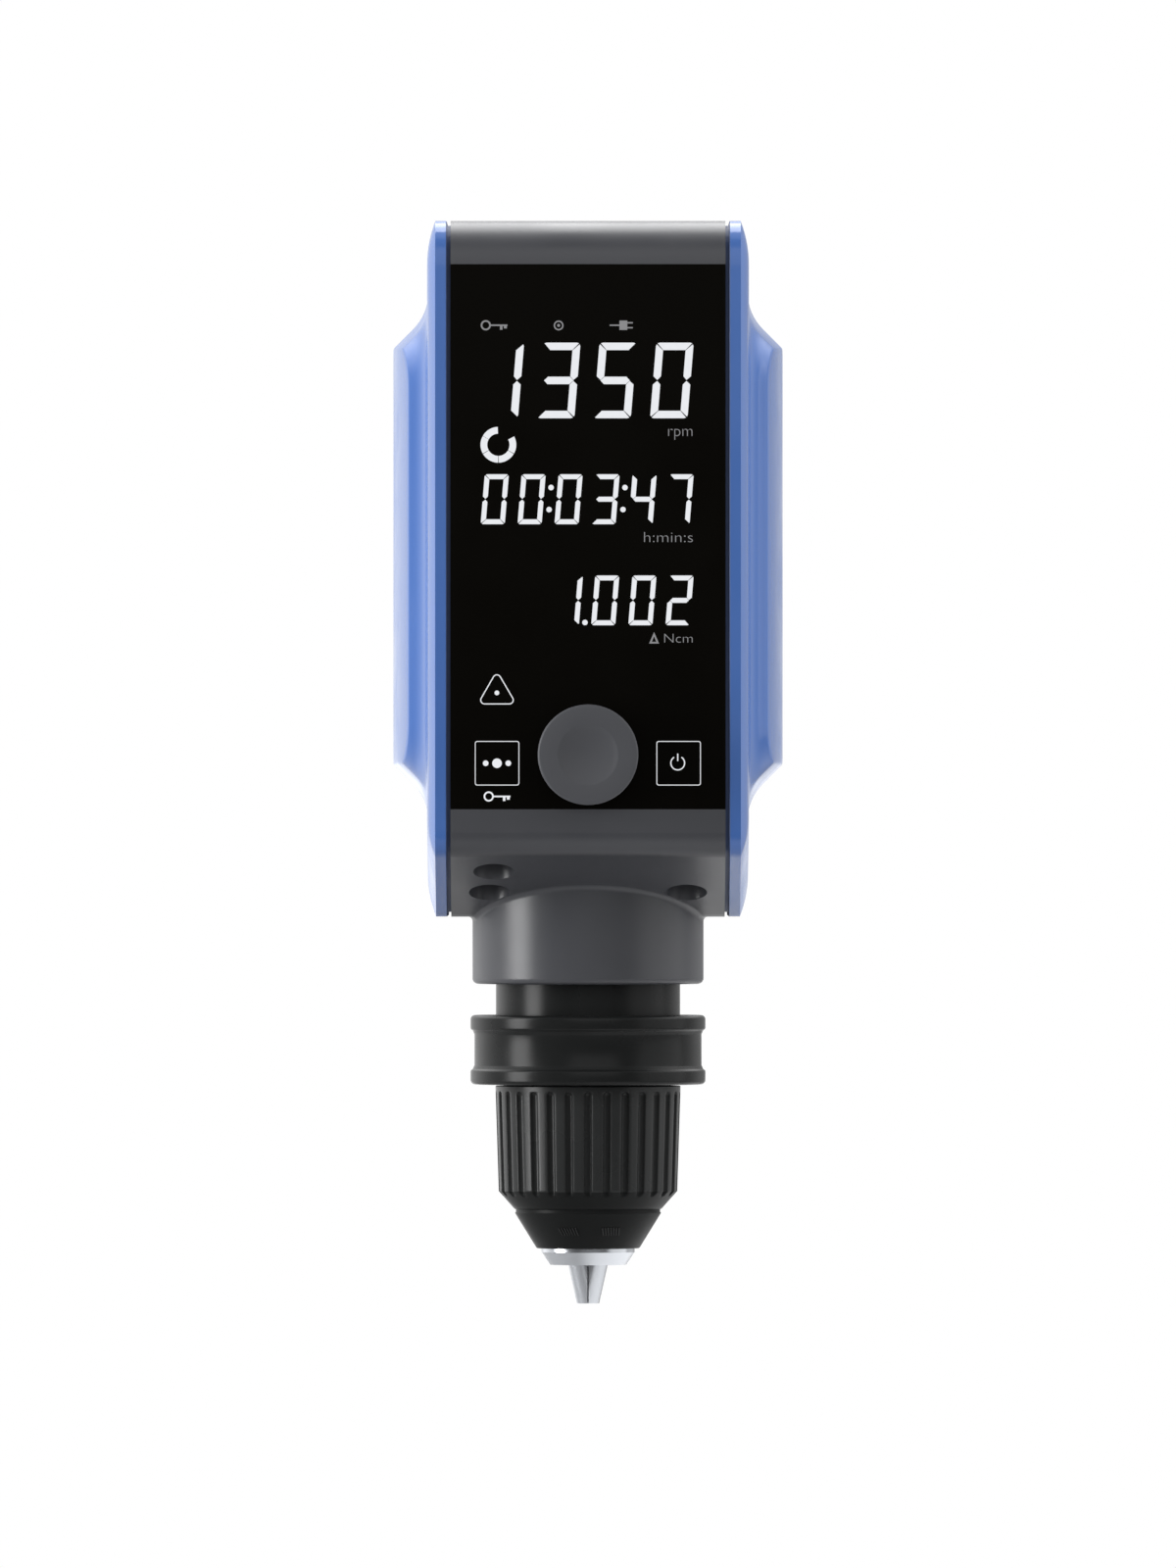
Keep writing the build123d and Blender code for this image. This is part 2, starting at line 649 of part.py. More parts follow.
# Eight screws go from inside the lugs out into the covers.
with BuildPart() as cover_screws:
    lug_face_x = HALF_WIDTH - LUG_LENGTH
    extrude(lug_discs(lug_face_x - M3_HEAD, M3_HEAD_R), amount=M3_HEAD)
    extrude(lug_discs(lug_face_x, M3_R), amount=FACE_X - COVER_SKIN - TIP_ROOM - lug_face_x)
    mirror(cover_screws.part, about=Plane.YZ)
cover_screws.part.label = "cover_screws"
export_step(cover_screws.part, "parts/cover_screws.step")

# ================================================================ head: front panel
# The window is a single pane across the whole front, with holes for the knob's bushing
# and the two keys.
with BuildPart() as front_window:
    extrude(front_face(FRONT_Y, HEAD_WIDTH, WINDOW_HEIGHT, WINDOW_MID_Z), amount=WINDOW_THICK)
    extrude(
        front_disc(FRONT_Y, BUSHING_R + BODY_GAP, 0, KNOB_Z),
        amount=WINDOW_THICK,
        mode=Mode.SUBTRACT,
    )
    for key_x in (-KEY_OFFSET, KEY_OFFSET):
        key_hole = KEY_SIZE + 2 * BODY_GAP
        extrude(
            front_face(FRONT_Y, key_hole, key_hole, KEY_Z, key_x),
            amount=WINDOW_THICK,
            mode=Mode.SUBTRACT,
        )
front_window.part.label = "front_window"
export_step(front_window.part, "parts/front_window.step")

with BuildPart() as window_gasket:
    extrude(front_face(WINDOW_BACK_Y, HEAD_WIDTH, WINDOW_HEIGHT, WINDOW_MID_Z), amount=GASKET_THICK)
    extrude(
        front_face(
            WINDOW_BACK_Y,
            HEAD_WIDTH - 2 * SIDE_LEDGE,
            WINDOW_HEIGHT - 2 * END_LEDGE,
            WINDOW_MID_Z,
        ),
        amount=GASKET_THICK,
        mode=Mode.SUBTRACT,
    )
window_gasket.part.label = "window_gasket"
export_step(window_gasket.part, "parts/window_gasket.step")

# The board screws onto the back of the upper and lower ledges and carries the display,
# the encoder and the key switches on its front.
BOARD_WIDTH = HEAD_WIDTH - 2 * SIDE_LEDGE - 2 * BODY_GAP
BOARD_HEIGHT = WINDOW_HEIGHT + 2 * BOARD_OVERHANG
BOARD_SCREW_X = BOARD_WIDTH / 2 - M3_HEAD_R - BOARD_EDGE
BOARD_SCREW_Z = WINDOW_HEIGHT / 2 - BOARD_SCREW_INSET
with BuildPart() as display_board:
    extrude(front_face(BOARD_Y, BOARD_WIDTH, BOARD_HEIGHT, WINDOW_MID_Z), amount=BOARD_THICK)
    for side in (-1, 1):
        for end in (-1, 1):
            place = (side * BOARD_SCREW_X, WINDOW_MID_Z + end * BOARD_SCREW_Z)
            extrude(
                front_disc(BOARD_Y, M3_R + SEAT, *place),
                amount=BOARD_THICK,
                mode=Mode.SUBTRACT,
            )
display_board.part.label = "display_board"
export_step(display_board.part, "parts/display_board.step")

DISPLAY_MID_Z = WINDOW_HIGH_Z - END_LEDGE - DISPLAY_EDGE - DISPLAY_HEIGHT / 2
DISPLAY_FACE_Y = BOARD_Y - DISPLAY_THICK
with BuildPart() as segment_display:
    extrude(
        front_face(DISPLAY_FACE_Y, DISPLAY_WIDTH, DISPLAY_HEIGHT, DISPLAY_MID_Z),
        amount=DISPLAY_THICK,
    )
    extrude(
        front_face(
            DISPLAY_FACE_Y,
            DISPLAY_WIDTH - 2 * DISPLAY_BORDER,
            DISPLAY_HEIGHT - 2 * DISPLAY_BORDER,
            DISPLAY_MID_Z,
        ),
        amount=BODY_GAP,
        mode=Mode.SUBTRACT,
    )
segment_display.part.label = "segment_display"
export_step(segment_display.part, "parts/segment_display.step")

# Push encoder: a square body on the board, a bushing through the window and, inside,
# the plunger that the knob presses.
ENCODER_FACE_Y = WINDOW_BACK_Y + BODY_GAP
BUSHING_FRONT_Y = FRONT_Y - BUSHING_REACH
PLUNGER_R = ENCODER_SHAFT_R + PLUNGER_STEP
PLUNGER_Y = ENCODER_FACE_Y + ENCODER_WALL
with BuildPart() as rotary_encoder:
    extrude(
        front_face(ENCODER_FACE_Y, ENCODER_SIZE, ENCODER_SIZE, KNOB_Z),
        amount=BOARD_Y - ENCODER_FACE_Y,
    )
    extrude(
        front_disc(BUSHING_FRONT_Y, BUSHING_R, 0, KNOB_Z),
        amount=ENCODER_FACE_Y + MERGE - BUSHING_FRONT_Y,
    )
    extrude(
        front_disc(BUSHING_FRONT_Y, ENCODER_SHAFT_R + RUNNING, 0, KNOB_Z),
        amount=PLUNGER_Y - BUSHING_FRONT_Y,
        mode=Mode.SUBTRACT,
    )
    extrude(
        front_disc(PLUNGER_Y, PLUNGER_R + BODY_GAP, 0, KNOB_Z),
        amount=BOARD_Y - PLUNGER_Y - ENCODER_FLOOR,
        mode=Mode.SUBTRACT,
    )
rotary_encoder.part.label = "rotary_encoder"
export_step(rotary_encoder.part, "parts/rotary_encoder.step")

with BuildPart() as encoder_plunger:
    extrude(front_disc(PLUNGER_Y + BODY_GAP, PLUNGER_R, 0, KNOB_Z), amount=PLUNGER_WIDTH)
encoder_plunger.part.label = "encoder_plunger"
export_step(encoder_plunger.part, "parts/encoder_plunger.step")

KNOB_FACE_Y = KNOB_BACK_Y - KNOB_LENGTH
with BuildPart() as encoder_shaft:
    extrude(
        front_disc(KNOB_FACE_Y + KNOB_WEB, ENCODER_SHAFT_R, 0, KNOB_Z),
        amount=PLUNGER_Y - KNOB_FACE_Y - KNOB_WEB,
    )
encoder_shaft.part.label = "encoder_shaft"
export_step(encoder_shaft.part, "parts/encoder_shaft.step")

# The knob is turned from solid: rounded front edge, shallow finger dish, hollow behind.
with BuildPart() as control_knob:
    extrude(front_disc(KNOB_FACE_Y, KNOB_R, 0, KNOB_Z), amount=KNOB_LENGTH)
    chamfer(control_knob.edges().group_by(Axis.Y)[0], KNOB_EDGE)
    dish_r = (DIMPLE_R**2 + DIMPLE_DEPTH**2) / (2 * DIMPLE_DEPTH)
    with Locations((0, KNOB_FACE_Y + DIMPLE_DEPTH - dish_r, KNOB_Z)):
        Sphere(dish_r, mode=Mode.SUBTRACT)
    extrude(
        front_disc(KNOB_FACE_Y + KNOB_WEB, ENCODER_SHAFT_R, 0, KNOB_Z),
        amount=KNOB_LENGTH,
        mode=Mode.SUBTRACT,
    )
    extrude(
        front_disc(KNOB_BACK_Y - KNOB_RECESS, BUSHING_R + KNOB_RECESS_ROOM, 0, KNOB_Z),
        amount=KNOB_RECESS,
        mode=Mode.SUBTRACT,
    )
control_knob.part.label = "control_knob"
export_step(control_knob.part, "parts/control_knob.step")

# A key is a square cap level with the window and a wider flange that keeps it in.
KEY_BACK_Y = WINDOW_BACK_Y + BODY_GAP + KEY_FLANGE
for key_name, key_x in (("menu_key", -KEY_OFFSET), ("power_key", KEY_OFFSET)):
    with BuildPart() as key:
        extrude(front_face(FRONT_Y, KEY_SIZE, KEY_SIZE, KEY_Z, key_x), amount=KEY_BACK_Y - FRONT_Y)
        flange_size = KEY_SIZE + 2 * KEY_LIP
        extrude(
            front_face(KEY_BACK_Y - KEY_FLANGE, flange_size, flange_size, KEY_Z, key_x),
            amount=KEY_FLANGE,
        )
    key.part.label = key_name
    export_step(key.part, f"parts/{key_name}.step")

SWITCH_FRONT_Y = KEY_BACK_Y + KEY_TRAVEL + BODY_GAP
with BuildPart() as key_switches:
    for key_x in (-KEY_OFFSET, KEY_OFFSET):
        switch_body = front_face(SWITCH_FRONT_Y + SWITCH_PIN, SWITCH_SIDE, SWITCH_SIDE, KEY_Z, key_x)
        extrude(switch_body, amount=BOARD_Y - SWITCH_FRONT_Y - SWITCH_PIN)
        extrude(front_disc(SWITCH_FRONT_Y, SWITCH_PIN_R, key_x, KEY_Z), amount=SWITCH_PIN)
key_switches.part.label = "key_switches"
export_step(key_switches.part, "parts/key_switches.step")

# ================================================================ head: drive chassis
# One cast piece carries both spindle bearings and hangs the motor: barrel, square flange
# over the screw bosses, upper barrel and the shelf that reaches back over the motor.
with BuildPart() as drive_chassis:
    extrude(disc(LOWER_BEARING_Z, CHASSIS_R), amount=BOSS_TOP_Z - LOWER_BEARING_Z)
    with BuildSketch(Plane.XY.offset(BOSS_TOP_Z)):
        RectangleRounded(FLANGE_SIZE, FLANGE_SIZE, FLANGE_SIZE / 2 - SCREW_REACH)
    extrude(amount=FLANGE_THICK)
    extrude(disc(BOSS_TOP_Z, BARREL_R), amount=SHELF_Z - BOSS_TOP_Z)
    with BuildSketch(Plane.XY.offset(SHELF_Z)):
        Circle(BARREL_R + SHELF_EDGE)
        with Locations(MOTOR_PLACE):
            Circle(MOTOR_R)
        make_hull()
    extrude(amount=SHELF_THICK)
    extrude(
        disc(LOWER_BEARING_Z, CHASSIS_BORE_R),
        amount=SHELF_TOP_Z - LOWER_BEARING_Z,
        mode=Mode.SUBTRACT,
    )
    extrude(disc(LOWER_BEARING_Z, BEARING_R), amount=BEARING_WIDTH, mode=Mode.SUBTRACT)
    extrude(
        disc(UPPER_BEARING_Z, BEARING_R),
        amount=SHELF_TOP_Z - UPPER_BEARING_Z,
        mode=Mode.SUBTRACT,
    )
    extrude(
        disc(SHELF_Z, MOTOR_BEARING_R + MOTOR_HOLE_STEP, centre=MOTOR_PLACE),
        amount=SHELF_THICK,
        mode=Mode.SUBTRACT,
    )
    with BuildSketch(Plane.XY.offset(BOSS_TOP_Z)):
        with Locations(*SCREW_PLACES):
            Circle(M5_R + SEAT)
    extrude(amount=FLANGE_THICK, mode=Mode.SUBTRACT)
    with BuildSketch(Plane.XY.offset(SHELF_Z)):
        with Locations(MOTOR_PLACE):
            with PolarLocations(MOTOR_SCREW_PCD / 2, 4, 45):
                Circle(M3_R + SEAT)
    extrude(amount=SHELF_THICK, mode=Mode.SUBTRACT)
drive_chassis.part.label = "drive_chassis"
export_step(drive_chassis.part, "parts/drive_chassis.step")

with BuildPart() as chassis_screws:
    with BuildSketch(Plane.XY.offset(WELL_TOP_Z - M5_HEAD)):
        with Locations(*SCREW_PLACES):
            Circle(M5_HEAD_R)
            RegularPolygon(M5_R, 6, mode=Mode.SUBTRACT)
    extrude(amount=M5_SOCKET)
    with BuildSketch(Plane.XY.offset(WELL_TOP_Z - M5_HEAD + M5_SOCKET)):
        with Locations(*SCREW_PLACES):
            Circle(M5_HEAD_R)
    extrude(amount=M5_HEAD - M5_SOCKET)
    with BuildSketch(Plane.XY.offset(WELL_TOP_Z)):
        with Locations(*SCREW_PLACES):
            Circle(M5_R)
    extrude(amount=BOSS_TOP_Z + FLANGE_THICK - WELL_TOP_Z - THREAD_END)
chassis_screws.part.label = "chassis_screws"
export_step(chassis_screws.part, "parts/chassis_screws.step")

# The hub closes the neck. Its slots are the fixed half of the spindle lock.
with BuildPart() as lock_hub:
    extrude(disc(NECK_FOOT_Z, CHASSIS_R), amount=HUB_FLANGE)
    extrude(disc(HUB_FOOT_Z, HUB_R), amount=NECK_FOOT_Z - HUB_FOOT_Z)
    extrude(
        disc(HUB_FOOT_Z, SEAL_R),
        amount=LOWER_BEARING_Z - HUB_FOOT_Z,
        mode=Mode.SUBTRACT,
    )
    slot_top_z = LOCK_KEY_Z + LOCK_KEY_HEIGHT + LOCK_TRAVEL + BODY_GAP
    with BuildSketch(Plane.XY.offset(HUB_FOOT_Z)):
        with PolarLocations(HUB_R, LOCK_KEYS):
            Rectangle(2 * (KEY_DEPTH + BODY_GAP), KEY_WIDTH + 2 * BODY_GAP)
    extrude(amount=slot_top_z - HUB_FOOT_Z, mode=Mode.SUBTRACT)
lock_hub.part.label = "lock_hub"
export_step(lock_hub.part, "parts/lock_hub.step")

with BuildPart() as shaft_seal:
    extrude(
        disc(LOWER_BEARING_Z - SEAL_HEIGHT - SEAL_DROP, SEAL_R, SHAFT_R + RUNNING),
        amount=SEAL_HEIGHT,
    )
shaft_seal.part.label = "shaft_seal"
export_step(shaft_seal.part, "parts/shaft_seal.step")

with BuildPart() as bearing_outer_rings:
    for bearing_z in (LOWER_BEARING_Z, UPPER_BEARING_Z):
        extrude(disc(bearing_z, BEARING_R, BEARING_GAP_R + BODY_GAP), amount=BEARING_WIDTH)
bearing_outer_rings.part.label = "bearing_outer_rings"
export_step(bearing_outer_rings.part, "parts/bearing_outer_rings.step")

# A thin tube leads a pushed-through stirrer shaft from the spindle to the top.
with BuildPart() as guide_tube:
    extrude(
        disc(SHAFT_TOP_Z + BODY_GAP, THROUGH_R + GUIDE_WALL + SEAT, THROUGH_R + SEAT),
        amount=TOP_Z - CAP_THICK - SHAFT_TOP_Z - BODY_GAP,
    )
guide_tube.part.label = "guide_tube"
export_step(guide_tube.part, "parts/guide_tube.step")

with BuildPart() as spindle_hole_cap:
    extrude(disc(TOP_Z - CAP_THICK + RUNNING, CAP_R), amount=CAP_THICK - RUNNING)
    extrude(
        disc(TOP_Z - CAP_THICK - CAP_PLUG, THROUGH_R - RUNNING),
        amount=CAP_PLUG + RUNNING,
    )
spindle_hole_cap.part.label = "spindle_hole_cap"
export_step(spindle_hole_cap.part, "parts/spindle_hole_cap.step")

# ================================================================ head: motor
MOTOR_INNER_R = MOTOR_R - MOTOR_WALL
with BuildPart() as motor_case:
    extrude(
        disc(MOTOR_LOW_Z + MOTOR_CAP, MOTOR_R, centre=MOTOR_PLACE),
        amount=MOTOR_HEIGHT - MOTOR_CAP,
    )
    extrude(
        disc(MOTOR_LOW_Z + MOTOR_CAP, MOTOR_INNER_R, centre=MOTOR_PLACE),
        amount=MOTOR_HEIGHT - MOTOR_CAP - MOTOR_BEARING,
        mode=Mode.SUBTRACT,
    )
    extrude(
        disc(SHELF_Z - MOTOR_BEARING, MOTOR_BEARING_R, centre=MOTOR_PLACE),
        amount=MOTOR_BEARING,
        mode=Mode.SUBTRACT,
    )
    with BuildSketch(Plane.XY.offset(SHELF_Z - MOTOR_SCREW_DEPTH - TIP_ROOM)):
        with Locations(MOTOR_PLACE):
            with PolarLocations(MOTOR_SCREW_PCD / 2, 4, 45):
                Circle(M3_R + SEAT)
    extrude(amount=MOTOR_SCREW_DEPTH + TIP_ROOM, mode=Mode.SUBTRACT)
motor_case.part.label = "motor_case"
export_step(motor_case.part, "parts/motor_case.step")

with BuildPart() as motor_end_cap:
    extrude(disc(MOTOR_LOW_Z, MOTOR_R, centre=MOTOR_PLACE), amount=MOTOR_CAP)
    extrude(
        disc(MOTOR_LOW_Z + MOTOR_CAP, MOTOR_BEARING_R + MOTOR_BEARING_WALL, centre=MOTOR_PLACE),
        amount=MOTOR_BEARING - MOTOR_BEARING_SINK,
    )
    extrude(
        disc(MOTOR_BEARING_Z, MOTOR_BEARING_R, centre=MOTOR_PLACE),
        amount=MOTOR_BEARING,
        mode=Mode.SUBTRACT,
    )
motor_end_cap.part.label = "motor_end_cap"
export_step(motor_end_cap.part, "parts/motor_end_cap.step")

with BuildPart() as motor_bearings:
    for bearing_z in (MOTOR_BEARING_Z, SHELF_Z - MOTOR_BEARING):
        extrude(
            disc(bearing_z, MOTOR_BEARING_R, MOTOR_SHAFT_R + RUNNING, MOTOR_PLACE),
            amount=MOTOR_BEARING,
        )
motor_bearings.part.label = "motor_bearings"
export_step(motor_bearings.part, "parts/motor_bearings.step")

with BuildPart() as stator_core:
    with BuildSketch(Plane.XY.offset(STATOR_LOW_Z)) as lamination:
        with Locations(MOTOR_PLACE):
            Circle(MOTOR_INNER_R)
            Circle(MOTOR_INNER_R - STATOR_YOKE, mode=Mode.SUBTRACT)
            with PolarLocations((MOTOR_INNER_R + MAGNET_R) / 2, STATOR_SLOTS):
                Rectangle(MOTOR_INNER_R - MAGNET_R - STATOR_YOKE / 2, STATOR_TOOTH)
            with PolarLocations(MAGNET_R + AIR_GAP + TOOTH_SHOE / 2, STATOR_SLOTS):
                Rectangle(TOOTH_SHOE, 2 * STATOR_TOOTH)
            Circle(MAGNET_R + AIR_GAP, mode=Mode.SUBTRACT)
    extrude(amount=STATOR_HEIGHT)
stator_core.part.label = "stator_core"
export_step(stator_core.part, "parts/stator_core.step")

# One coil around each stator tooth.
COIL_INNER_R = MAGNET_R + AIR_GAP + TOOTH_SHOE + COIL_GAP
COIL_OUTER_R = MOTOR_INNER_R - STATOR_YOKE - BODY_GAP
with BuildPart() as stator_windings:
    with BuildSketch(Plane.XY.offset(STATOR_LOW_Z - COIL_WALL)):
        with Locations(MOTOR_PLACE):
            with PolarLocations((COIL_INNER_R + COIL_OUTER_R) / 2, STATOR_SLOTS):
                Rectangle(COIL_OUTER_R - COIL_INNER_R, STATOR_TOOTH + 2 * COIL_WALL)
    extrude(amount=STATOR_HEIGHT + 2 * COIL_WALL)
    with BuildSketch(Plane.XY.offset(STATOR_LOW_Z)):
        with Locations(MOTOR_PLACE):
            with PolarLocations((COIL_INNER_R + COIL_OUTER_R) / 2, STATOR_SLOTS):
                Rectangle(2 * COIL_OUTER_R - 2 * COIL_INNER_R, STATOR_TOOTH)
    extrude(amount=STATOR_HEIGHT, mode=Mode.SUBTRACT)
stator_windings.part.label = "stator_windings"
export_step(stator_windings.part, "parts/stator_windings.step")

with BuildPart() as motor_screws:
    with BuildSketch(Plane.XY.offset(SHELF_TOP_Z)):
        with Locations(MOTOR_PLACE):
            with PolarLocations(MOTOR_SCREW_PCD / 2, 4, 45):
                Circle(M3_HEAD_R)
    extrude(amount=M3_HEAD)
    with BuildSketch(Plane.XY.offset(SHELF_Z - MOTOR_SCREW_DEPTH)):
        with Locations(MOTOR_PLACE):
            with PolarLocations(MOTOR_SCREW_PCD / 2, 4, 45):
                Circle(M3_R)
    extrude(amount=SHELF_THICK + MOTOR_SCREW_DEPTH)
motor_screws.part.label = "motor_screws"
export_step(motor_screws.part, "parts/motor_screws.step")

# ================================================================ head: electronics and back
MAIN_BOARD_MID_Z = (MAIN_BOARD_LOW_Z + MAIN_BOARD_HIGH_Z) / 2
MAIN_BOARD_BACK_Y = BACK_Y - FRAME_WALL - POST_LENGTH
MAIN_SCREW_X = MAIN_BOARD_WIDTH / 2 - POST_R
MAIN_SCREW_Z = (MAIN_BOARD_HIGH_Z - MAIN_BOARD_LOW_Z) / 2 - POST_R
with BuildPart() as main_board:
    extrude(
        front_face(
            MAIN_BOARD_BACK_Y - BOARD_THICK,
            MAIN_BOARD_WIDTH,
            MAIN_BOARD_HIGH_Z - MAIN_BOARD_LOW_Z,
            MAIN_BOARD_MID_Z,
        ),
        amount=BOARD_THICK,
    )
    for side in (-1, 1):
        for end in (-1, 1):
            place = (side * MAIN_SCREW_X, MAIN_BOARD_MID_Z + end * MAIN_SCREW_Z)
            extrude(
                front_disc(MAIN_BOARD_BACK_Y - BOARD_THICK, M3_R + SEAT, *place),
                amount=BOARD_THICK,
                mode=Mode.SUBTRACT,
            )
main_board.part.label = "main_board"
export_step(main_board.part, "parts/main_board.step")

# Two electrolytic capacitors and three driver chips on the main board's front.
BOARD_FACE_Y = MAIN_BOARD_BACK_Y - BOARD_THICK
with BuildPart() as board_parts:
    for part_x in CAPACITORS_X:
        can_y, can_z = BOARD_FACE_Y - CAPACITOR_HEIGHT, MAIN_BOARD_MID_Z + CAPACITOR_RISE
        extrude(front_disc(can_y, CAPACITOR_R, part_x, can_z), amount=CAPACITOR_HEIGHT)
    for part_x in CHIPS_X:
        chip_y, chip_z = BOARD_FACE_Y - CHIP_THICK, MAIN_BOARD_MID_Z - CHIP_DROP
        extrude(front_face(chip_y, CHIP_SIDE, CHIP_SIDE, chip_z, part_x), amount=CHIP_THICK)
board_parts.part.label = "board_parts"
export_step(board_parts.part, "parts/board_parts.step")

with BuildPart() as board_screws:
    for side in (-1, 1):
        for end in (-1, 1):
            place = (side * BOARD_SCREW_X, WINDOW_MID_Z + end * BOARD_SCREW_Z)
            extrude(front_disc(BOARD_Y + BOARD_THICK, M3_HEAD_R, *place), amount=M3_HEAD)
            extrude(front_disc(BOARD_Y, M3_R, *place), amount=BOARD_THICK)
            place = (side * MAIN_SCREW_X, MAIN_BOARD_MID_Z + end * MAIN_SCREW_Z)
            extrude(front_disc(BOARD_FACE_Y - M3_HEAD, M3_HEAD_R, *place), amount=M3_HEAD)
            extrude(front_disc(BOARD_FACE_Y, M3_R, *place), amount=BOARD_THICK + MAIN_SCREW_DEPTH)
board_screws.part.label = "board_screws"
export_step(board_screws.part, "parts/board_screws.step")

with BuildPart() as power_jack:
    extrude(
        front_face(MAIN_BOARD_BACK_Y, JACK_SIZE, JACK_SIZE, MAIN_BOARD_MID_Z, JACK_X),
        amount=BACK_Y - MAIN_BOARD_BACK_Y,
    )
    extrude(
        front_disc(BACK_Y - JACK_DEPTH, JACK_HOLE_R, JACK_X, MAIN_BOARD_MID_Z, JACK_PIN_R),
        amount=JACK_DEPTH,
        mode=Mode.SUBTRACT,
    )
power_jack.part.label = "power_jack"
export_step(power_jack.part, "parts/power_jack.step")

with BuildPart() as data_port:
    extrude(
        front_face(MAIN_BOARD_BACK_Y, USB_WIDTH, USB_HEIGHT, MAIN_BOARD_MID_Z, USB_X),
        amount=BACK_Y - MAIN_BOARD_BACK_Y,
    )
    extrude(
        front_face(
            BACK_Y - USB_DEPTH,
            USB_WIDTH - 2 * USB_SHELL,
            USB_HEIGHT - 2 * USB_SHELL,
            MAIN_BOARD_MID_Z,
            USB_X,
        ),
        amount=USB_DEPTH,
        mode=Mode.SUBTRACT,
    )
data_port.part.label = "data_port"
export_step(data_port.part, "parts/data_port.step")

# The probe socket fills the third well: a round plug with four contact holes and a
# flange that rests on the boss.
with BuildPart() as probe_socket:
    extrude(
        disc(PROBE_FACE_Z, WELL_R - SEAT, centre=(PROBE_X, PROBE_Y)),
        amount=BOSS_TOP_Z - PROBE_FACE_Z,
    )
    extrude(
        disc(BOSS_TOP_Z, WELL_R + PROBE_LIP, centre=(PROBE_X, PROBE_Y)),
        amount=PROBE_FLANGE,
    )
    with BuildSketch(Plane.XY.offset(PROBE_FACE_Z)):
        with Locations((PROBE_X, PROBE_Y)):
            with PolarLocations(PROBE_PIN_PCR, 4, 45):
                Circle(PROBE_PIN_R)
    extrude(amount=PROBE_PIN_DEPTH, mode=Mode.SUBTRACT)
probe_socket.part.label = "probe_socket"
export_step(probe_socket.part, "parts/probe_socket.step")

# Flat ribbon from the display board back to the main board, with a plug at each end.
RIBBON_BACK_Z = MAIN_BOARD_MID_Z
RIBBON_FRONT_Z = RIBBON_BACK_Z - RIBBON_DROP
DISPLAY_BOARD_BACK_Y = BOARD_Y + BOARD_THICK
with BuildPart() as ribbon_cable:
    with BuildSketch(Plane.YZ.offset(RIBBON_X - RIBBON_WIDTH / 2)):
        with BuildLine():
            FilletPolyline(
                (DISPLAY_BOARD_BACK_Y + RIBBON_BURIED, RIBBON_FRONT_Z),
                (DISPLAY_BOARD_BACK_Y + RIBBON_FRONT_RUN, RIBBON_FRONT_Z),
                (BOARD_FACE_Y - RIBBON_BACK_RUN, RIBBON_BACK_Z),
                (BOARD_FACE_Y - RIBBON_BURIED, RIBBON_BACK_Z),
                radius=RIBBON_BEND,
            )
        trace(line_width=RIBBON_THICK)
    extrude(amount=RIBBON_WIDTH)
    plug_width = RIBBON_WIDTH + 2 * RIBBON_EDGE
    for plug_y, plug_z in (
        (DISPLAY_BOARD_BACK_Y, RIBBON_FRONT_Z),
        (BOARD_FACE_Y - RIBBON_PLUG, RIBBON_BACK_Z),
    ):
        extrude(
            front_face(plug_y, plug_width, RIBBON_PLUG, plug_z, RIBBON_X),
            amount=RIBBON_PLUG,
        )
ribbon_cable.part.label = "ribbon_cable"
export_step(ribbon_cable.part, "parts/ribbon_cable.step")

# Support rod for a stand's boss clamp, screwed into the back by its stud.
with BuildPart() as extension_arm:
    extrude(front_disc(BACK_Y, ARM_R, 0, ARM_Z), amount=ARM_LENGTH)
    chamfer(extension_arm.edges().group_by(Axis.Y)[-1], ARM_CHAMFER)
    extrude(front_disc(BACK_Y - ARM_STUD, ARM_STUD_R, 0, ARM_Z), amount=ARM_STUD)
extension_arm.part.label = "extension_arm"
export_step(extension_arm.part, "parts/extension_arm.step")

# ================================================================ belt drive
ROOT_LINE = -PITCH_LINE + SEAT  # belt's tooth side, from the pitch line
PULLEY_FACE = -PITCH_LINE - SEAT  # pulley's outside, from the pitch line


def groove(depth, clearance):
    """Pulley groove as a sketch on the X axis: open outward, its floor at -depth."""
    with BuildSketch() as cut:
        with BuildLine():
            Polyline(
                (-depth, -TOOTH_TIP / 2 - clearance),
                (GROOVE_PAST, -TOOTH_ROOT / 2 - clearance * GROOVE_FLARE),
                (GROOVE_PAST, TOOTH_ROOT / 2 + clearance * GROOVE_FLARE),
                (-depth, TOOTH_TIP / 2 + clearance),
                close=True,
            )
        make_face()
    return cut.sketch


def belt_station(along):
    """(place, outward angle) on the pitch line, measured from its front-most point."""
    front_arc = SPINDLE_PITCH_R * (pi / 2 + BELT_LEAN)
    if along <= front_arc:
        angle = along / SPINDLE_PITCH_R - pi / 2
        return (SPINDLE_PITCH_R * cos(angle), SPINDLE_PITCH_R * sin(angle)), degrees(angle)
    if along <= front_arc + BELT_STRAIGHT:
        run = along - front_arc
        x = SPINDLE_PITCH_R * cos(BELT_LEAN) - run * sin(BELT_LEAN)
        y = SPINDLE_PITCH_R * sin(BELT_LEAN) + run * cos(BELT_LEAN)
        return (x, y), degrees(BELT_LEAN)
    angle = BELT_LEAN + (along - front_arc - BELT_STRAIGHT) / MOTOR_PITCH_R
    return (MOTOR_PITCH_R * cos(angle), MOTOR_Y + MOTOR_PITCH_R * sin(angle)), degrees(angle)


def belt_loop(out):
    """Face enclosed by the belt's line moved outward from the pitch line by out."""
    with BuildSketch() as loop:
        Circle(SPINDLE_PITCH_R + out)
        with Locations(MOTOR_PLACE):
            Circle(MOTOR_PITCH_R + out)
        make_hull()
    return loop.sketch


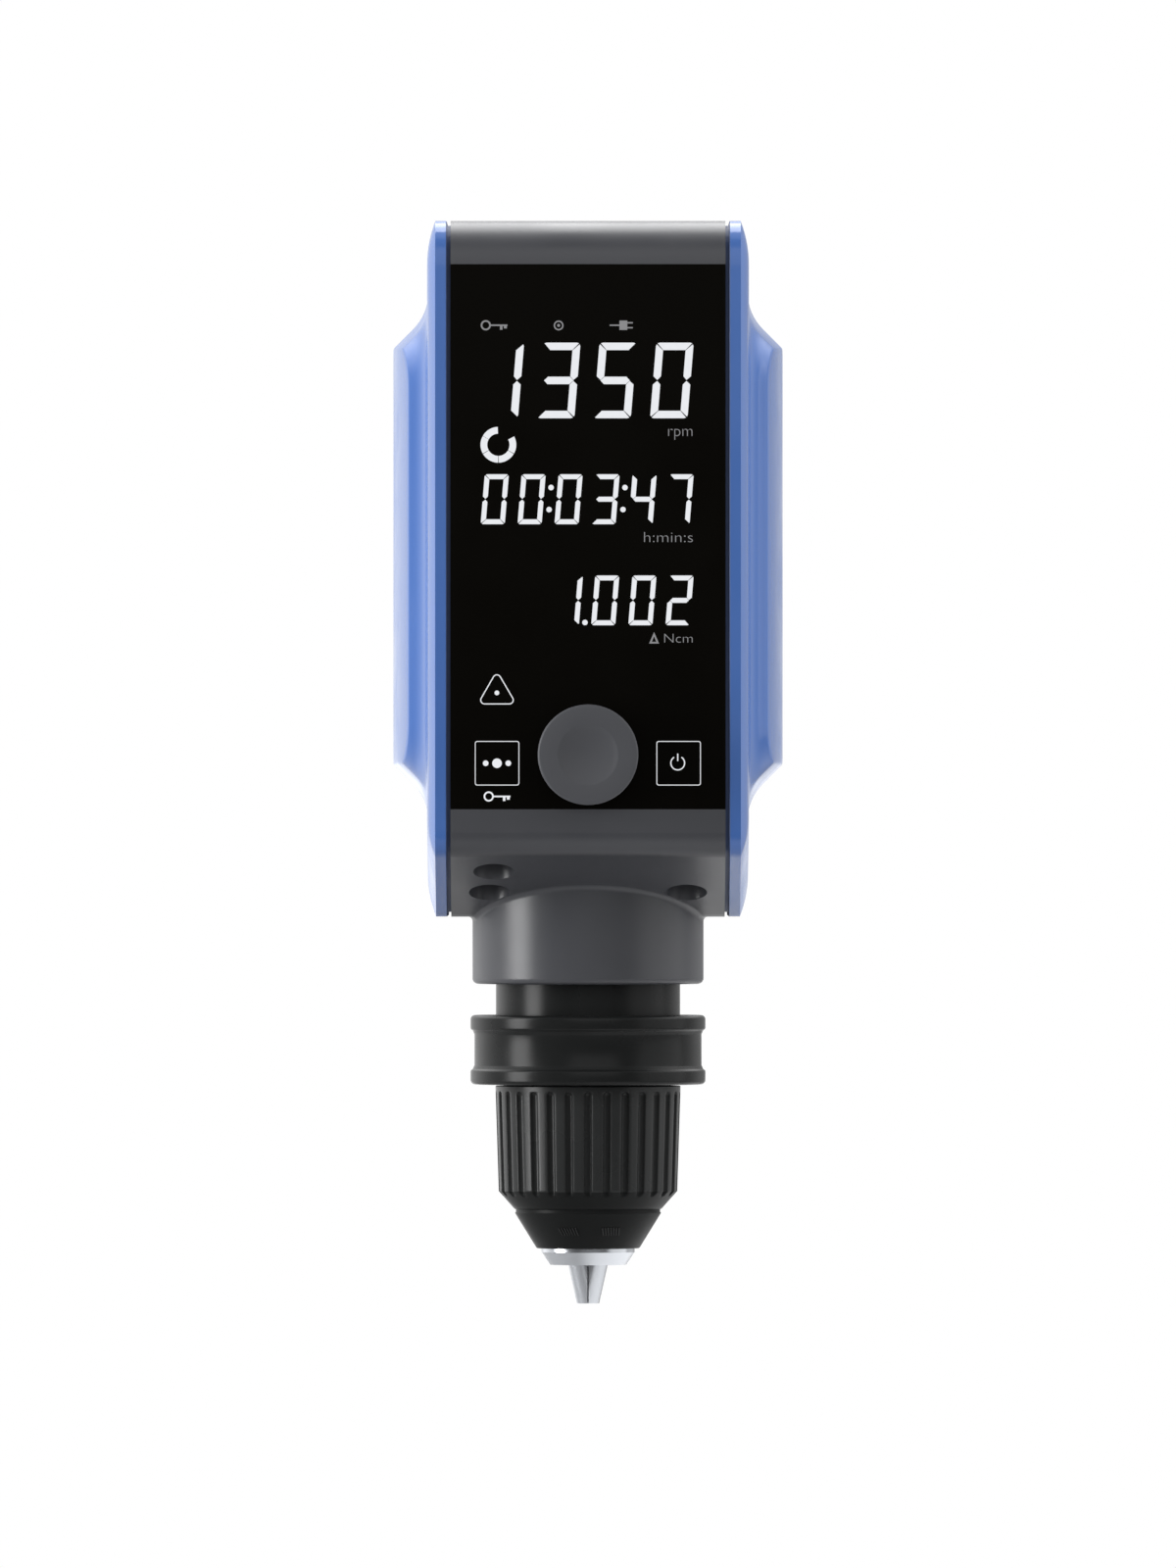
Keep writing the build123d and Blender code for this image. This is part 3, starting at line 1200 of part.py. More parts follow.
with BuildSketch() as belt_tooth:
    with BuildLine():
        Polyline(
            (ROOT_LINE - TOOTH_HEIGHT, -TOOTH_TIP / 2),
            (ROOT_LINE + TOOTH_BURIED, -TOOTH_ROOT / 2),
            (ROOT_LINE + TOOTH_BURIED, TOOTH_ROOT / 2),
            (ROOT_LINE - TOOTH_HEIGHT, TOOTH_TIP / 2),
            close=True,
        )
    make_face()

with BuildPart() as drive_belt:
    with BuildSketch(Plane.XY.offset(PULLEY_Z + FLANGE_RISE)):
        add(belt_loop(ROOT_LINE + BELT_BACK))
        add(belt_loop(ROOT_LINE), mode=Mode.SUBTRACT)
        for index in range(BELT_TEETH // 2 + 1):
            (tooth_x, tooth_y), angle = belt_station(index * BELT_PITCH)
            with Locations(Location((tooth_x, tooth_y, 0), (0, 0, angle))):
                add(belt_tooth.sketch)
            if 0 < index < BELT_TEETH // 2:
                with Locations(Location((-tooth_x, tooth_y, 0), (0, 0, 180 - angle))):
                    add(belt_tooth.sketch)
    extrude(amount=BELT_WIDTH)
drive_belt.part.label = "drive_belt"
export_step(drive_belt.part, "parts/drive_belt.step")

PULLEY_R = SPINDLE_PITCH_R + PULLEY_FACE
MOTOR_PULLEY_R = MOTOR_PITCH_R + PULLEY_FACE
GROOVE_DEPTH = TOOTH_HEIGHT + BODY_GAP
with BuildPart() as spindle_pulley:
    with BuildSketch(Plane.XY.offset(PULLEY_Z)):
        Circle(PULLEY_R)
        with PolarLocations(PULLEY_R, SPINDLE_TEETH, -90):
            add(groove(GROOVE_DEPTH, RUNNING), mode=Mode.SUBTRACT)
    extrude(amount=PULLEY_TOP_Z - PULLEY_Z)
    extrude(
        disc(UPPER_BEARING_Z + BEARING_WIDTH, BEARING_GAP_R),
        amount=PULLEY_Z - UPPER_BEARING_Z - BEARING_WIDTH,
    )
    extrude(
        disc(PULLEY_Z + PULLEY_FLOOR, PULLEY_R - PULLEY_RIM, SHAFT_R + PULLEY_HUB),
        amount=PULLEY_TOP_Z - PULLEY_Z,
        mode=Mode.SUBTRACT,
    )
    with BuildSketch(Plane.XY.offset(PULLEY_Z)):
        with PolarLocations((PULLEY_R + SHAFT_R) / 2, PULLEY_HOLES):
            Circle(PULLEY_HOLE_R)
    extrude(amount=PULLEY_TOP_Z - PULLEY_Z, mode=Mode.SUBTRACT)
    extrude(
        disc(SHELF_Z, SHAFT_R + SEAT),
        amount=PULLEY_TOP_Z - SHELF_Z,
        mode=Mode.SUBTRACT,
    )
spindle_pulley.part.label = "spindle_pulley"
export_step(spindle_pulley.part, "parts/spindle_pulley.step")

with BuildPart() as motor_pulley:
    with BuildSketch(Plane.XY.offset(PULLEY_Z)):
        with Locations(MOTOR_PLACE):
            Circle(MOTOR_PULLEY_R)
            with PolarLocations(MOTOR_PULLEY_R, MOTOR_TEETH, 90):
                add(groove(GROOVE_DEPTH, RUNNING), mode=Mode.SUBTRACT)
    extrude(amount=PULLEY_TOP_Z + FLANGE_RISE - PULLEY_Z)
    for flange_z in (PULLEY_Z, PULLEY_TOP_Z + FLANGE_RISE - PULLEY_FLANGE):
        extrude(
            disc(flange_z, MOTOR_PITCH_R + BELT_BACK + FLANGE_LIP, centre=MOTOR_PLACE),
            amount=PULLEY_FLANGE,
        )
    extrude(
        disc(PULLEY_Z, MOTOR_SHAFT_R, centre=MOTOR_PLACE),
        amount=PULLEY_TOP_Z - PULLEY_Z + FLANGE_RISE,
        mode=Mode.SUBTRACT,
    )
motor_pulley.part.label = "motor_pulley"
export_step(motor_pulley.part, "parts/motor_pulley.step")

with BuildPart() as rotor_shaft:
    shaft_low_z = MOTOR_BEARING_Z + BODY_GAP
    extrude(
        disc(shaft_low_z, MOTOR_SHAFT_R, centre=MOTOR_PLACE),
        amount=PULLEY_TOP_Z + FLANGE_RISE - shaft_low_z,
    )
rotor_shaft.part.label = "rotor_shaft"
export_step(rotor_shaft.part, "parts/rotor_shaft.step")

with BuildPart() as rotor_magnet:
    extrude(
        disc(STATOR_LOW_Z - MAGNET_OVERHANG, MAGNET_R, MOTOR_SHAFT_R, MOTOR_PLACE),
        amount=STATOR_HEIGHT + 2 * MAGNET_OVERHANG,
    )
rotor_magnet.part.label = "rotor_magnet"
export_step(rotor_magnet.part, "parts/rotor_magnet.step")

# ================================================================ spindle
with BuildPart() as spindle_shaft:
    extrude(disc(SOCKET_Z, SHAFT_R, THROUGH_R), amount=SHAFT_TOP_Z - SOCKET_Z)
spindle_shaft.part.label = "spindle_shaft"
export_step(spindle_shaft.part, "parts/spindle_shaft.step")

with BuildPart() as bearing_inner_rings:
    for bearing_z in (LOWER_BEARING_Z, UPPER_BEARING_Z):
        extrude(disc(bearing_z, BEARING_GAP_R, SHAFT_R), amount=BEARING_WIDTH)
bearing_inner_rings.part.label = "bearing_inner_rings"
export_step(bearing_inner_rings.part, "parts/bearing_inner_rings.step")

# Snap ring above the pulley, open at the back.
with BuildPart() as shaft_clip:
    with BuildSketch(Plane.XY.offset(PULLEY_TOP_Z)):
        Circle(SHAFT_R + CLIP_WIDTH)
        Circle(SHAFT_R, mode=Mode.SUBTRACT)
        with Locations((0, SHAFT_R + CLIP_WIDTH / 2)):
            Rectangle(CLIP_MOUTH, CLIP_MOUTH, mode=Mode.SUBTRACT)
    extrude(amount=CLIP_THICK)
shaft_clip.part.label = "shaft_clip"
export_step(shaft_clip.part, "parts/shaft_clip.step")

# ================================================================ chuck
TILT = tan(radians(JAW_TILT))
JAW_EDGE = JAW_R / cos(radians(JAW_TILT))  # half the jaw's width in a level cut
JAW_ANGLES = (90, 210, 330)


def jaw_axis_r(z):
    """Distance from the spindle axis to a closed jaw's own axis at height z."""
    return JAW_AXIS_R + z * TILT


def jaw_rod(angle, radius, low_z, high_z):
    """Round rod along a jaw's axis between two heights, as a solid of its own."""
    out = Vector(cos(radians(angle)), sin(radians(angle)), 0)
    lean = Vector(out.X * TILT, out.Y * TILT, 1)
    foot = out * jaw_axis_r(low_z) + Vector(0, 0, low_z)
    with BuildPart() as rod:
        with BuildSketch(Plane(foot, z_dir=lean)):
            Circle(radius)
        extrude(amount=(high_z - low_z) * lean.length)
    return rod.part


# The steel body: bored nose, groove for the nut, slotted shoulder and spindle socket.
with BuildPart() as chuck_body:
    revolve(
        half_section(
            (0, 0),
            (NOSE_FACE_R, 0),
            (NOSE_R, NOSE_CHAMFER),
            (NOSE_R, NUT_Z - NUT_PLAY),
            (NUT_GROOVE_R, NUT_Z - NUT_PLAY),
            (NUT_GROOVE_R, NUT_Z + NUT_HEIGHT + NUT_PLAY),
            (CHUCK_R, NUT_Z + NUT_HEIGHT + NUT_PLAY),
            (CHUCK_R, CHUCK_TOP_Z),
            (0, CHUCK_TOP_Z),
        ),
        axis=Axis.Z,
    )
    extrude(disc(0, THROUGH_R), amount=CHUCK_TOP_Z, mode=Mode.SUBTRACT)
    extrude(disc(SOCKET_Z, SHAFT_R), amount=CHUCK_TOP_Z - SOCKET_Z, mode=Mode.SUBTRACT)
    for angle in JAW_ANGLES:
        add(
            jaw_rod(angle, JAW_R + RUNNING, -JAW_BLANK, CHUCK_TOP_Z + JAW_BLANK),
            mode=Mode.SUBTRACT,
        )
chuck_body.part.label = "chuck_body"
export_step(chuck_body.part, "parts/chuck_body.step")

# Each jaw is an inclined rod cut to a 120 degree wedge, so that the three closed jaws
# meet along the spindle axis.
for index, angle in enumerate(JAW_ANGLES):
    with BuildPart() as jaw:
        add(jaw_rod(angle, JAW_R, JAW_TIP_Z - JAW_BLANK, JAW_TOP_Z + JAW_BLANK))
        apex = JAW_SEAM / 2 / sin(radians(60))
        reach = 4 * JAW_R + JAW_TOP_Z * TILT
        with BuildSketch(Plane.XY.offset(JAW_TIP_Z).rotated((0, 0, angle))):
            with BuildLine():
                Polyline(
                    (apex, 0),
                    (apex + reach, -reach * tan(radians(60))),
                    (apex + reach, reach * tan(radians(60))),
                    close=True,
                )
            make_face()
        extrude(amount=JAW_TOP_Z - JAW_TIP_Z, mode=Mode.INTERSECT)
    jaw.part.label = f"jaw_{index + 1}"
    export_step(jaw.part, f"parts/jaw_{index + 1}.step")

# The nut's conical bore rides on the backs of the jaws.
SLEEVE_BORE_R = CHUCK_R + BODY_GAP
NUT_TOP_Z = NUT_Z + NUT_HEIGHT
with BuildPart() as jaw_nut:
    revolve(
        half_section(
            (jaw_axis_r(NUT_Z) + JAW_EDGE + RUNNING, NUT_Z),
            (SLEEVE_BORE_R, NUT_Z),
            (SLEEVE_BORE_R, NUT_TOP_Z),
            (jaw_axis_r(NUT_TOP_Z) + JAW_EDGE + RUNNING, NUT_TOP_Z),
        ),
        axis=Axis.Z,
    )
jaw_nut.part.label = "jaw_nut"
export_step(jaw_nut.part, "parts/jaw_nut.step")

# Grip sleeve: a slight taper, a cone at the foot, and round-ended flutes that run out
# on the cone.
with BuildPart() as fluted_sleeve:
    revolve(
        half_section(
            (SPIGOT_R, SLEEVE_FOOT_Z),
            (SLEEVE_FOOT_R, SLEEVE_FOOT_Z),
            (SLEEVE_WAIST_R, SLEEVE_WAIST_Z),
            (SLEEVE_TOP_R, SLEEVE_TOP_Z),
            (SLEEVE_BORE_R, SLEEVE_TOP_Z),
            (SLEEVE_BORE_R, SLEEVE_WAIST_Z + SLEEVE_SHOULDER),
            (SPIGOT_R, SLEEVE_WAIST_Z + SLEEVE_SHOULDER),
        ),
        axis=Axis.Z,
    )
    flute_length = FLUTE_TOP_Z - SLEEVE_FOOT_Z + FLUTE_RUNOUT
    flute_mid_z = FLUTE_TOP_Z - flute_length / 2
    flute_planes = []
    for index in range(FLUTES):
        turn = radians(360 / FLUTES * (index + 0.5))
        out = Vector(cos(turn), sin(turn), 0)
        place = out * (SLEEVE_TOP_R + PAST) + Vector(0, 0, flute_mid_z)
        flute_planes.append(Plane(place, x_dir=(0, 0, 1), z_dir=out * -1))
    with BuildSketch(*flute_planes) as flute_ends:
        Rectangle(flute_length, FLUTE_WIDTH)
        chamfer(flute_ends.vertices().filter_by(lambda v: v.Z > FLUTE_TOP_Z - NEAR), FLUTE_WIDTH / 3)
    extrude(amount=FLUTE_DEPTH + PAST + (SLEEVE_TOP_R - SLEEVE_WAIST_R) / 2, mode=Mode.SUBTRACT)
fluted_sleeve.part.label = "fluted_sleeve"
export_step(fluted_sleeve.part, "parts/fluted_sleeve.step")

with BuildPart() as nose_ring:
    revolve(
        half_section(
            (NOSE_R + BODY_GAP, NOSE_RING_Z),
            (NOSE_RING_FOOT_R, NOSE_RING_Z),
            (SLEEVE_FOOT_R, SLEEVE_FOOT_Z - NOSE_GROOVE),
            (NOSE_GROOVE_R, SLEEVE_FOOT_Z - NOSE_GROOVE),
            (NOSE_GROOVE_R, SLEEVE_FOOT_Z),
            (SPIGOT_R, SLEEVE_FOOT_Z),
            (SPIGOT_R, SLEEVE_WAIST_Z),
            (NOSE_R + BODY_GAP, SLEEVE_WAIST_Z),
        ),
        axis=Axis.Z,
    )
nose_ring.part.label = "nose_ring"
export_step(nose_ring.part, "parts/nose_ring.step")

# Slotted collar on the chuck body's shoulder: the turning half of the spindle lock.
COLLAR_BORE_R = CHUCK_R + COLLAR_PLAY
COLLAR_TOP_Z = HUB_FOOT_Z - BODY_GAP
with BuildPart() as rear_collar:
    extrude(disc(COLLAR_FOOT_Z, HUB_R, COLLAR_BORE_R), amount=COLLAR_TOP_Z - COLLAR_FOOT_Z)
    extrude(disc(CHUCK_TOP_Z, COLLAR_BORE_R + COLLAR_LIP, SHAFT_R), amount=COLLAR_TOP_Z - CHUCK_TOP_Z)
    with BuildSketch(Plane.XY.offset(LOCK_KEY_Z - BODY_GAP)):
        with PolarLocations(HUB_R, LOCK_KEYS):
            Rectangle(2 * (KEY_DEPTH + BODY_GAP), KEY_WIDTH + 2 * BODY_GAP)
    extrude(amount=COLLAR_TOP_Z - LOCK_KEY_Z + BODY_GAP, mode=Mode.SUBTRACT)
rear_collar.part.label = "rear_collar"
export_step(rear_collar.part, "parts/rear_collar.step")

# The lock ring slides on hub and collar; its inner keys join the two when it is raised.
RING_BORE_R = HUB_R + RUNNING
RING_TOP_Z = RING_LOW_Z + RING_HEIGHT
BAND_SLOPE = RING_R - BAND_R
with BuildPart() as lock_ring:
    revolve(
        half_section(
            (RING_BORE_R, RING_LOW_Z),
            (RING_R - RING_EDGE, RING_LOW_Z),
            (RING_R, RING_LOW_Z + RING_EDGE),
            (RING_R, RING_LOW_Z + RIM_HEIGHT),
            (BAND_R, RING_LOW_Z + RIM_HEIGHT + BAND_SLOPE),
            (BAND_R, RING_TOP_Z - RIM_HEIGHT - BAND_SLOPE),
            (RING_R, RING_TOP_Z - RIM_HEIGHT),
            (RING_R, RING_TOP_Z - RING_EDGE),
            (RING_R - RING_EDGE, RING_TOP_Z),
            (RING_BORE_R, RING_TOP_Z),
        ),
        axis=Axis.Z,
    )
    with BuildSketch(Plane.XY.offset(LOCK_KEY_Z)):
        with PolarLocations(HUB_R - (KEY_DEPTH - KEY_ROOT) / 2, LOCK_KEYS):
            Rectangle(KEY_DEPTH + KEY_ROOT, KEY_WIDTH)
    extrude(amount=LOCK_KEY_HEIGHT)
lock_ring.part.label = "lock_ring"
export_step(lock_ring.part, "parts/lock_ring.step")
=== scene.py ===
from math import acos, atan2, cos, hypot, pi, radians, sin, sqrt, tan

import bmesh
import bpy
from mathutils import Matrix, Vector


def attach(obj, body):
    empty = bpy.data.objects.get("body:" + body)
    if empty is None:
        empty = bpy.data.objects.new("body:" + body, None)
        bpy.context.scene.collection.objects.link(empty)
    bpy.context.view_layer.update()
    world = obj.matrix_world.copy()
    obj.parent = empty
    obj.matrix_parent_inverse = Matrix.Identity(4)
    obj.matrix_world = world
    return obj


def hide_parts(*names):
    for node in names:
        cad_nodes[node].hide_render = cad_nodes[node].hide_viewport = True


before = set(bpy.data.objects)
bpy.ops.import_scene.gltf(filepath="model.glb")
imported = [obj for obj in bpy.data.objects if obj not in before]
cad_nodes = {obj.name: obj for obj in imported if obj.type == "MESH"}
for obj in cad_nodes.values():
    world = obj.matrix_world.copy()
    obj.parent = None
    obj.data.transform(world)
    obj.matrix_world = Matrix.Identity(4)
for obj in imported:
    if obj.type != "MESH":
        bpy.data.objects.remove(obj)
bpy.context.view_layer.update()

MM = 0.001

# ---------------------------------------------------------------- table, studio and camera
# A lab stirrer hangs on its arm over a bench, so the pale bench top lies a hand's breadth
# under the chuck. The camera stands square in front, level with the middle of the display,
# far away with a long lens. White panels stand left, right and above; one strip is close.
FRAME_HEIGHT = 0.360
FRAME_PLANE_Y = -0.03
SENSOR = 36.0
LENS = 600.0
VIEW_DISTANCE = FRAME_HEIGHT * LENS / SENSOR
VIEW_HEIGHT = 0.1109
HEAD_MIDDLE = (0, 0, 0.12)
HEAD_TOP = (0, 0, 0.2)

camera_data = bpy.data.cameras.new("front_camera")
camera_data.lens = LENS
camera_data.sensor_width = SENSOR
camera_data.clip_end = 50.0
camera = bpy.data.objects.new("front_camera", camera_data)
camera.location = (0.0, FRAME_PLANE_Y - VIEW_DISTANCE, VIEW_HEIGHT)
camera.rotation_euler = (radians(90), 0.0, 0.0)
bpy.context.scene.collection.objects.link(camera)
bpy.context.scene.camera = camera


def studio_panel(name, place, aim, width, height, power):
    """A flat white softbox at place, turned towards aim."""
    lamp = bpy.data.lights.new(name, "AREA")
    lamp.shape = "RECTANGLE"
    lamp.size, lamp.size_y = width, height
    lamp.energy = power
    panel = bpy.data.objects.new(name, lamp)
    panel.location = place
    panel.rotation_euler = (Vector(aim) - Vector(place)).to_track_quat("-Z", "Y").to_euler()
    bpy.context.scene.collection.objects.link(panel)


studio_panel("front_panel", (0.3, -2.6, 1.3), HEAD_MIDDLE, width=2.6, height=2.2, power=17)
studio_panel("left_strip", (-1.51, -0.47, 0.3), HEAD_MIDDLE, width=0.62, height=1.3, power=26)
studio_panel("top_panel", (0.0, 0.70, 1.62), HEAD_TOP, width=1.6, height=1.25, power=36)
studio_panel("right_panel", (1.5, -0.25, 0.4), HEAD_MIDDLE, width=1.7, height=1.4, power=6.5)

# The room is plain white to the eye. Glossy finishes mirror it bright behind, beside and
# above and dim on the camera's side; dull ones are lit by it mostly from both sides.
studio = bpy.data.worlds.new("studio_room")
bpy.context.scene.world = studio
studio.use_nodes = True
room, joins = studio.node_tree.nodes, studio.node_tree.links
room.clear()
room_out = room.new("ShaderNodeOutputWorld")
seen = room.new("ShaderNodeBackground")
seen.inputs["Color"].default_value = (1, 1, 1, 1)
seen.inputs["Strength"].default_value = 1.0
mirrored = room.new("ShaderNodeBackground")
soft_light = room.new("ShaderNodeBackground")
soft_light.inputs["Color"].default_value = (1, 1, 1, 1)
direction = room.new("ShaderNodeTexCoord")
axes = room.new("ShaderNodeSeparateXYZ")
joins.new(direction.outputs["Generated"], axes.inputs[0])


def ramp(source, start, end, low, high):
    """A smooth change from low to high while the source goes from start to end."""
    change = room.new("ShaderNodeMapRange")
    change.interpolation_type = "SMOOTHSTEP"
    change.inputs["From Min"].default_value = start
    change.inputs["From Max"].default_value = end
    change.inputs["To Min"].default_value = low
    change.inputs["To Max"].default_value = high
    joins.new(source, change.inputs["Value"])
    return change.outputs["Result"]


def combined(operation, *sources):
    """The sources' product or sum, or one source's absolute value."""
    result = room.new("ShaderNodeMath")
    result.operation = operation
    for socket, source in zip(result.inputs, sources):
        joins.new(source, socket)
    return result.outputs[0]


front_to_back = ramp(axes.outputs["Y"], -0.3, 0.8, 0.08, 1.0)
left_to_right = ramp(axes.outputs["X"], -0.3, 0.15, 1.2, 0.55)
to_the_sides = combined("ABSOLUTE", axes.outputs["X"])
sides = combined("MULTIPLY", left_to_right, ramp(to_the_sides, 0.35, 0.75, 1.0, 1.5))
straight_behind = combined(
    "MULTIPLY",
    ramp(axes.outputs["Y"], 0.95, 1.0, 0.0, 1.0),
    ramp(axes.outputs["Z"], -0.12, 0.03, 1.75, 0.25),
)
overhead = combined(
    "MULTIPLY",
    ramp(axes.outputs["Z"], 0.2, 0.5, 0.0, 1.8),
    ramp(axes.outputs["Y"], -0.6, 0.1, 0.1, 1.0),
)
mirrored_share = combined("ADD", combined("MULTIPLY", front_to_back, sides), straight_behind)
mirrored_share = combined("ADD", mirrored_share, overhead)
joins.new(mirrored_share, mirrored.inputs["Strength"])
soft_sides = combined(
    "MULTIPLY",
    ramp(to_the_sides, 0.5, 0.9, 0.30, 1.4),
    ramp(axes.outputs["X"], -0.5, 0.5, 0.8, 1.25),
)
joins.new(soft_sides, soft_light.inputs["Strength"])
path = room.new("ShaderNodeLightPath")
glossy_mix = room.new("ShaderNodeMixShader")
camera_mix = room.new("ShaderNodeMixShader")
through_glass = room.new("ShaderNodeMixShader")
joins.new(path.outputs["Is Glossy Ray"], glossy_mix.inputs[0])
joins.new(soft_light.outputs[0], glossy_mix.inputs[1])
joins.new(mirrored.outputs[0], glossy_mix.inputs[2])
joins.new(path.outputs["Is Transmission Ray"], through_glass.inputs[0])
joins.new(glossy_mix.outputs[0], through_glass.inputs[1])
joins.new(seen.outputs[0], through_glass.inputs[2])
joins.new(path.outputs["Is Camera Ray"], camera_mix.inputs[0])
joins.new(through_glass.outputs[0], camera_mix.inputs[1])
joins.new(seen.outputs[0], camera_mix.inputs[2])
joins.new(camera_mix.outputs[0], room_out.inputs["Surface"])
bpy.context.scene.view_settings.view_transform = "Standard"

# The bench top is a round pale board whose edge fades into the white room. Its tone as
# mirrored rises from left to right, BENCH_SPAN either side of the middle.
BENCH_Z = -0.12
BENCH_R = 0.75
BENCH_SEEN = 0.93
BENCH_LIT = 0.32
BENCH_MIRRORED = (0.38, 0.78)
BENCH_SPAN = 0.04
bench_mesh = bpy.data.meshes.new("bench_top")
bench_form = bmesh.new()
bmesh.ops.create_circle(bench_form, cap_ends=True, segments=96, radius=BENCH_R)
bmesh.ops.translate(bench_form, vec=(0, 0, BENCH_Z), verts=bench_form.verts)
bench_form.to_mesh(bench_mesh)
bench_form.free()
bench = bpy.data.objects.new("bench_top", bench_mesh)
bpy.context.scene.collection.objects.link(bench)
bench_paint = bpy.data.materials.new("bench_white")
bench_paint.use_nodes = True
bench_nodes, bench_links = bench_paint.node_tree.nodes, bench_paint.node_tree.links
bench_skin = bench_nodes["Principled BSDF"]
bench_place = bench_nodes.new("ShaderNodeTexCoord")
bench_axes = bench_nodes.new("ShaderNodeSeparateXYZ")
bench_links.new(bench_place.outputs["Object"], bench_axes.inputs[0])
mirrored_tone = bench_nodes.new("ShaderNodeMapRange")
mirrored_tone.inputs["From Min"].default_value = -BENCH_SPAN
mirrored_tone.inputs["From Max"].default_value = BENCH_SPAN
mirrored_tone.inputs["To Min"].default_value = BENCH_MIRRORED[0]
mirrored_tone.inputs["To Max"].default_value = BENCH_MIRRORED[1]
bench_links.new(bench_axes.outputs["X"], mirrored_tone.inputs["Value"])
bench_path = bench_nodes.new("ShaderNodeLightPath")
lit_tone = bench_nodes.new("ShaderNodeMix")
lit_tone.inputs["A"].default_value = BENCH_LIT
bench_links.new(bench_path.outputs["Is Glossy Ray"], lit_tone.inputs["Factor"])
bench_links.new(mirrored_tone.outputs["Result"], lit_tone.inputs["B"])
bench_tone = bench_nodes.new("ShaderNodeMix")
bench_tone.inputs["B"].default_value = BENCH_SEEN
bench_links.new(bench_path.outputs["Is Camera Ray"], bench_tone.inputs["Factor"])
bench_links.new(lit_tone.outputs["Result"], bench_tone.inputs["A"])
bench_links.new(bench_tone.outputs["Result"], bench_skin.inputs["Base Color"])
bench_skin.inputs["Roughness"].default_value = 0.8
bench_skin.inputs["Specular IOR Level"].default_value = 0.1
bench_reach = bench_nodes.new("ShaderNodeVectorMath")
bench_reach.operation = "LENGTH"
bench_fade = bench_nodes.new("ShaderNodeMapRange")
bench_fade.interpolation_type = "SMOOTHSTEP"
bench_fade.inputs["From Min"].default_value = BENCH_R * 0.35
bench_fade.inputs["From Max"].default_value = BENCH_R * 0.98
bench_gone = bench_nodes.new("ShaderNodeBsdfTransparent")
bench_mix = bench_nodes.new("ShaderNodeMixShader")
bench_links.new(bench_place.outputs["Object"], bench_reach.inputs[0])
bench_links.new(bench_reach.outputs["Value"], bench_fade.inputs["Value"])
bench_links.new(bench_fade.outputs["Result"], bench_mix.inputs[0])
bench_links.new(bench_skin.outputs[0], bench_mix.inputs[1])
bench_links.new(bench_gone.outputs[0], bench_mix.inputs[2])
bench_links.new(bench_mix.outputs[0], bench_nodes["Material Output"].inputs["Surface"])
bench_mesh.materials.append(bench_paint)

# ---------------------------------------------------------------- head casting
# The head is one aluminium die casting: a slim channel with a round neck under it, open
# at both sides. It is coated with a fine satin powder paint, dark grey, slightly uneven.
HEAD_FRONT_Y, HEAD_BACK_Y = -48.0, 76.0
HEAD_TOP_Z, HEAD_UNDER_Z = 240.0, 80.3
CHIN_Z = 95.6
CHIN_SLOPE = tan(radians(20.8))
NECK_R = 26.65
NECK_FOOT_Z = 64.8


def screen_colour(red, green, blue):
    """Linear colour of a swatch given in 0 to 255 screen values."""
    return tuple(
        (v / 255) / 12.92 if v <= 10 else ((v / 255 + 0.055) / 1.055) ** 2.4
        for v in (red, green, blue)
    )


def skin(name, colour, gloss, grain, relief, cloud, level=0.5, metal=0.0, lines=None):
    """A coated, moulded or machined skin.

    colour is linear, gloss the mean roughness, grain the size of the texture's bumps in
    millimetres and relief their height in thousandths of one. cloud is how much colour
    and gloss drift over some centimetres. level is the strength of the shine, metal is 1
    for bare metal, and lines stretches the grain along X, Y and Z.
    """
    made = bpy.data.materials.new(name)
    made.use_nodes = True
    made.diffuse_color = (*colour, 1)
    nodes, links = made.node_tree.nodes, made.node_tree.links
    shader = nodes["Principled BSDF"]
    shader.inputs["Metallic"].default_value = metal
    shader.inputs["Specular IOR Level"].default_value = level
    place = nodes.new("ShaderNodeTexCoord")
    drift = nodes.new("ShaderNodeTexNoise")
    drift.inputs["Scale"].default_value = 55.0
    drift.inputs["Detail"].default_value = 4.0
    tint = nodes.new("ShaderNodeMix")
    tint.data_type = "RGBA"
    tint.inputs["A"].default_value = (*[c * (1 - cloud) for c in colour], 1)
    tint.inputs["B"].default_value = (*[min(c * (1 + cloud), 1) for c in colour], 1)
    dull = nodes.new("ShaderNodeMapRange")
    dull.inputs["From Min"].default_value = 0.3
    dull.inputs["From Max"].default_value = 0.7
    dull.inputs["To Min"].default_value = max(gloss - 0.05, 0.02)
    dull.inputs["To Max"].default_value = gloss + 0.05
    texture = nodes.new("ShaderNodeTexNoise")
    texture.inputs["Scale"].default_value = 1000.0 / grain
    texture.inputs["Detail"].default_value = 2.0
    lift = nodes.new("ShaderNodeBump")
    lift.inputs["Strength"].default_value = 1.0
    lift.inputs["Distance"].default_value = relief * 1e-6
    links.new(place.outputs["Object"], drift.inputs["Vector"])
    links.new(drift.outputs["Fac"], tint.inputs["Factor"])
    links.new(drift.outputs["Fac"], dull.inputs["Value"])
    links.new(tint.outputs["Result"], shader.inputs["Base Color"])
    links.new(dull.outputs["Result"], shader.inputs["Roughness"])
    if lines:
        stretch = nodes.new("ShaderNodeMapping")
        stretch.inputs["Scale"].default_value = lines
        links.new(place.outputs["Object"], stretch.inputs["Vector"])
        links.new(stretch.outputs["Vector"], texture.inputs["Vector"])
    else:
        links.new(place.outputs["Object"], texture.inputs["Vector"])
    links.new(texture.outputs["Fac"], lift.inputs["Height"])
    links.new(lift.outputs["Normal"], shader.inputs["Normal"])
    return made


def dress(piece, finish):
    """The piece, a CAD node's name or an object, wears this finish all over."""
    mesh = cad_nodes[piece].data if isinstance(piece, str) else piece.data
    mesh.materials.clear()
    mesh.materials.append(finish)


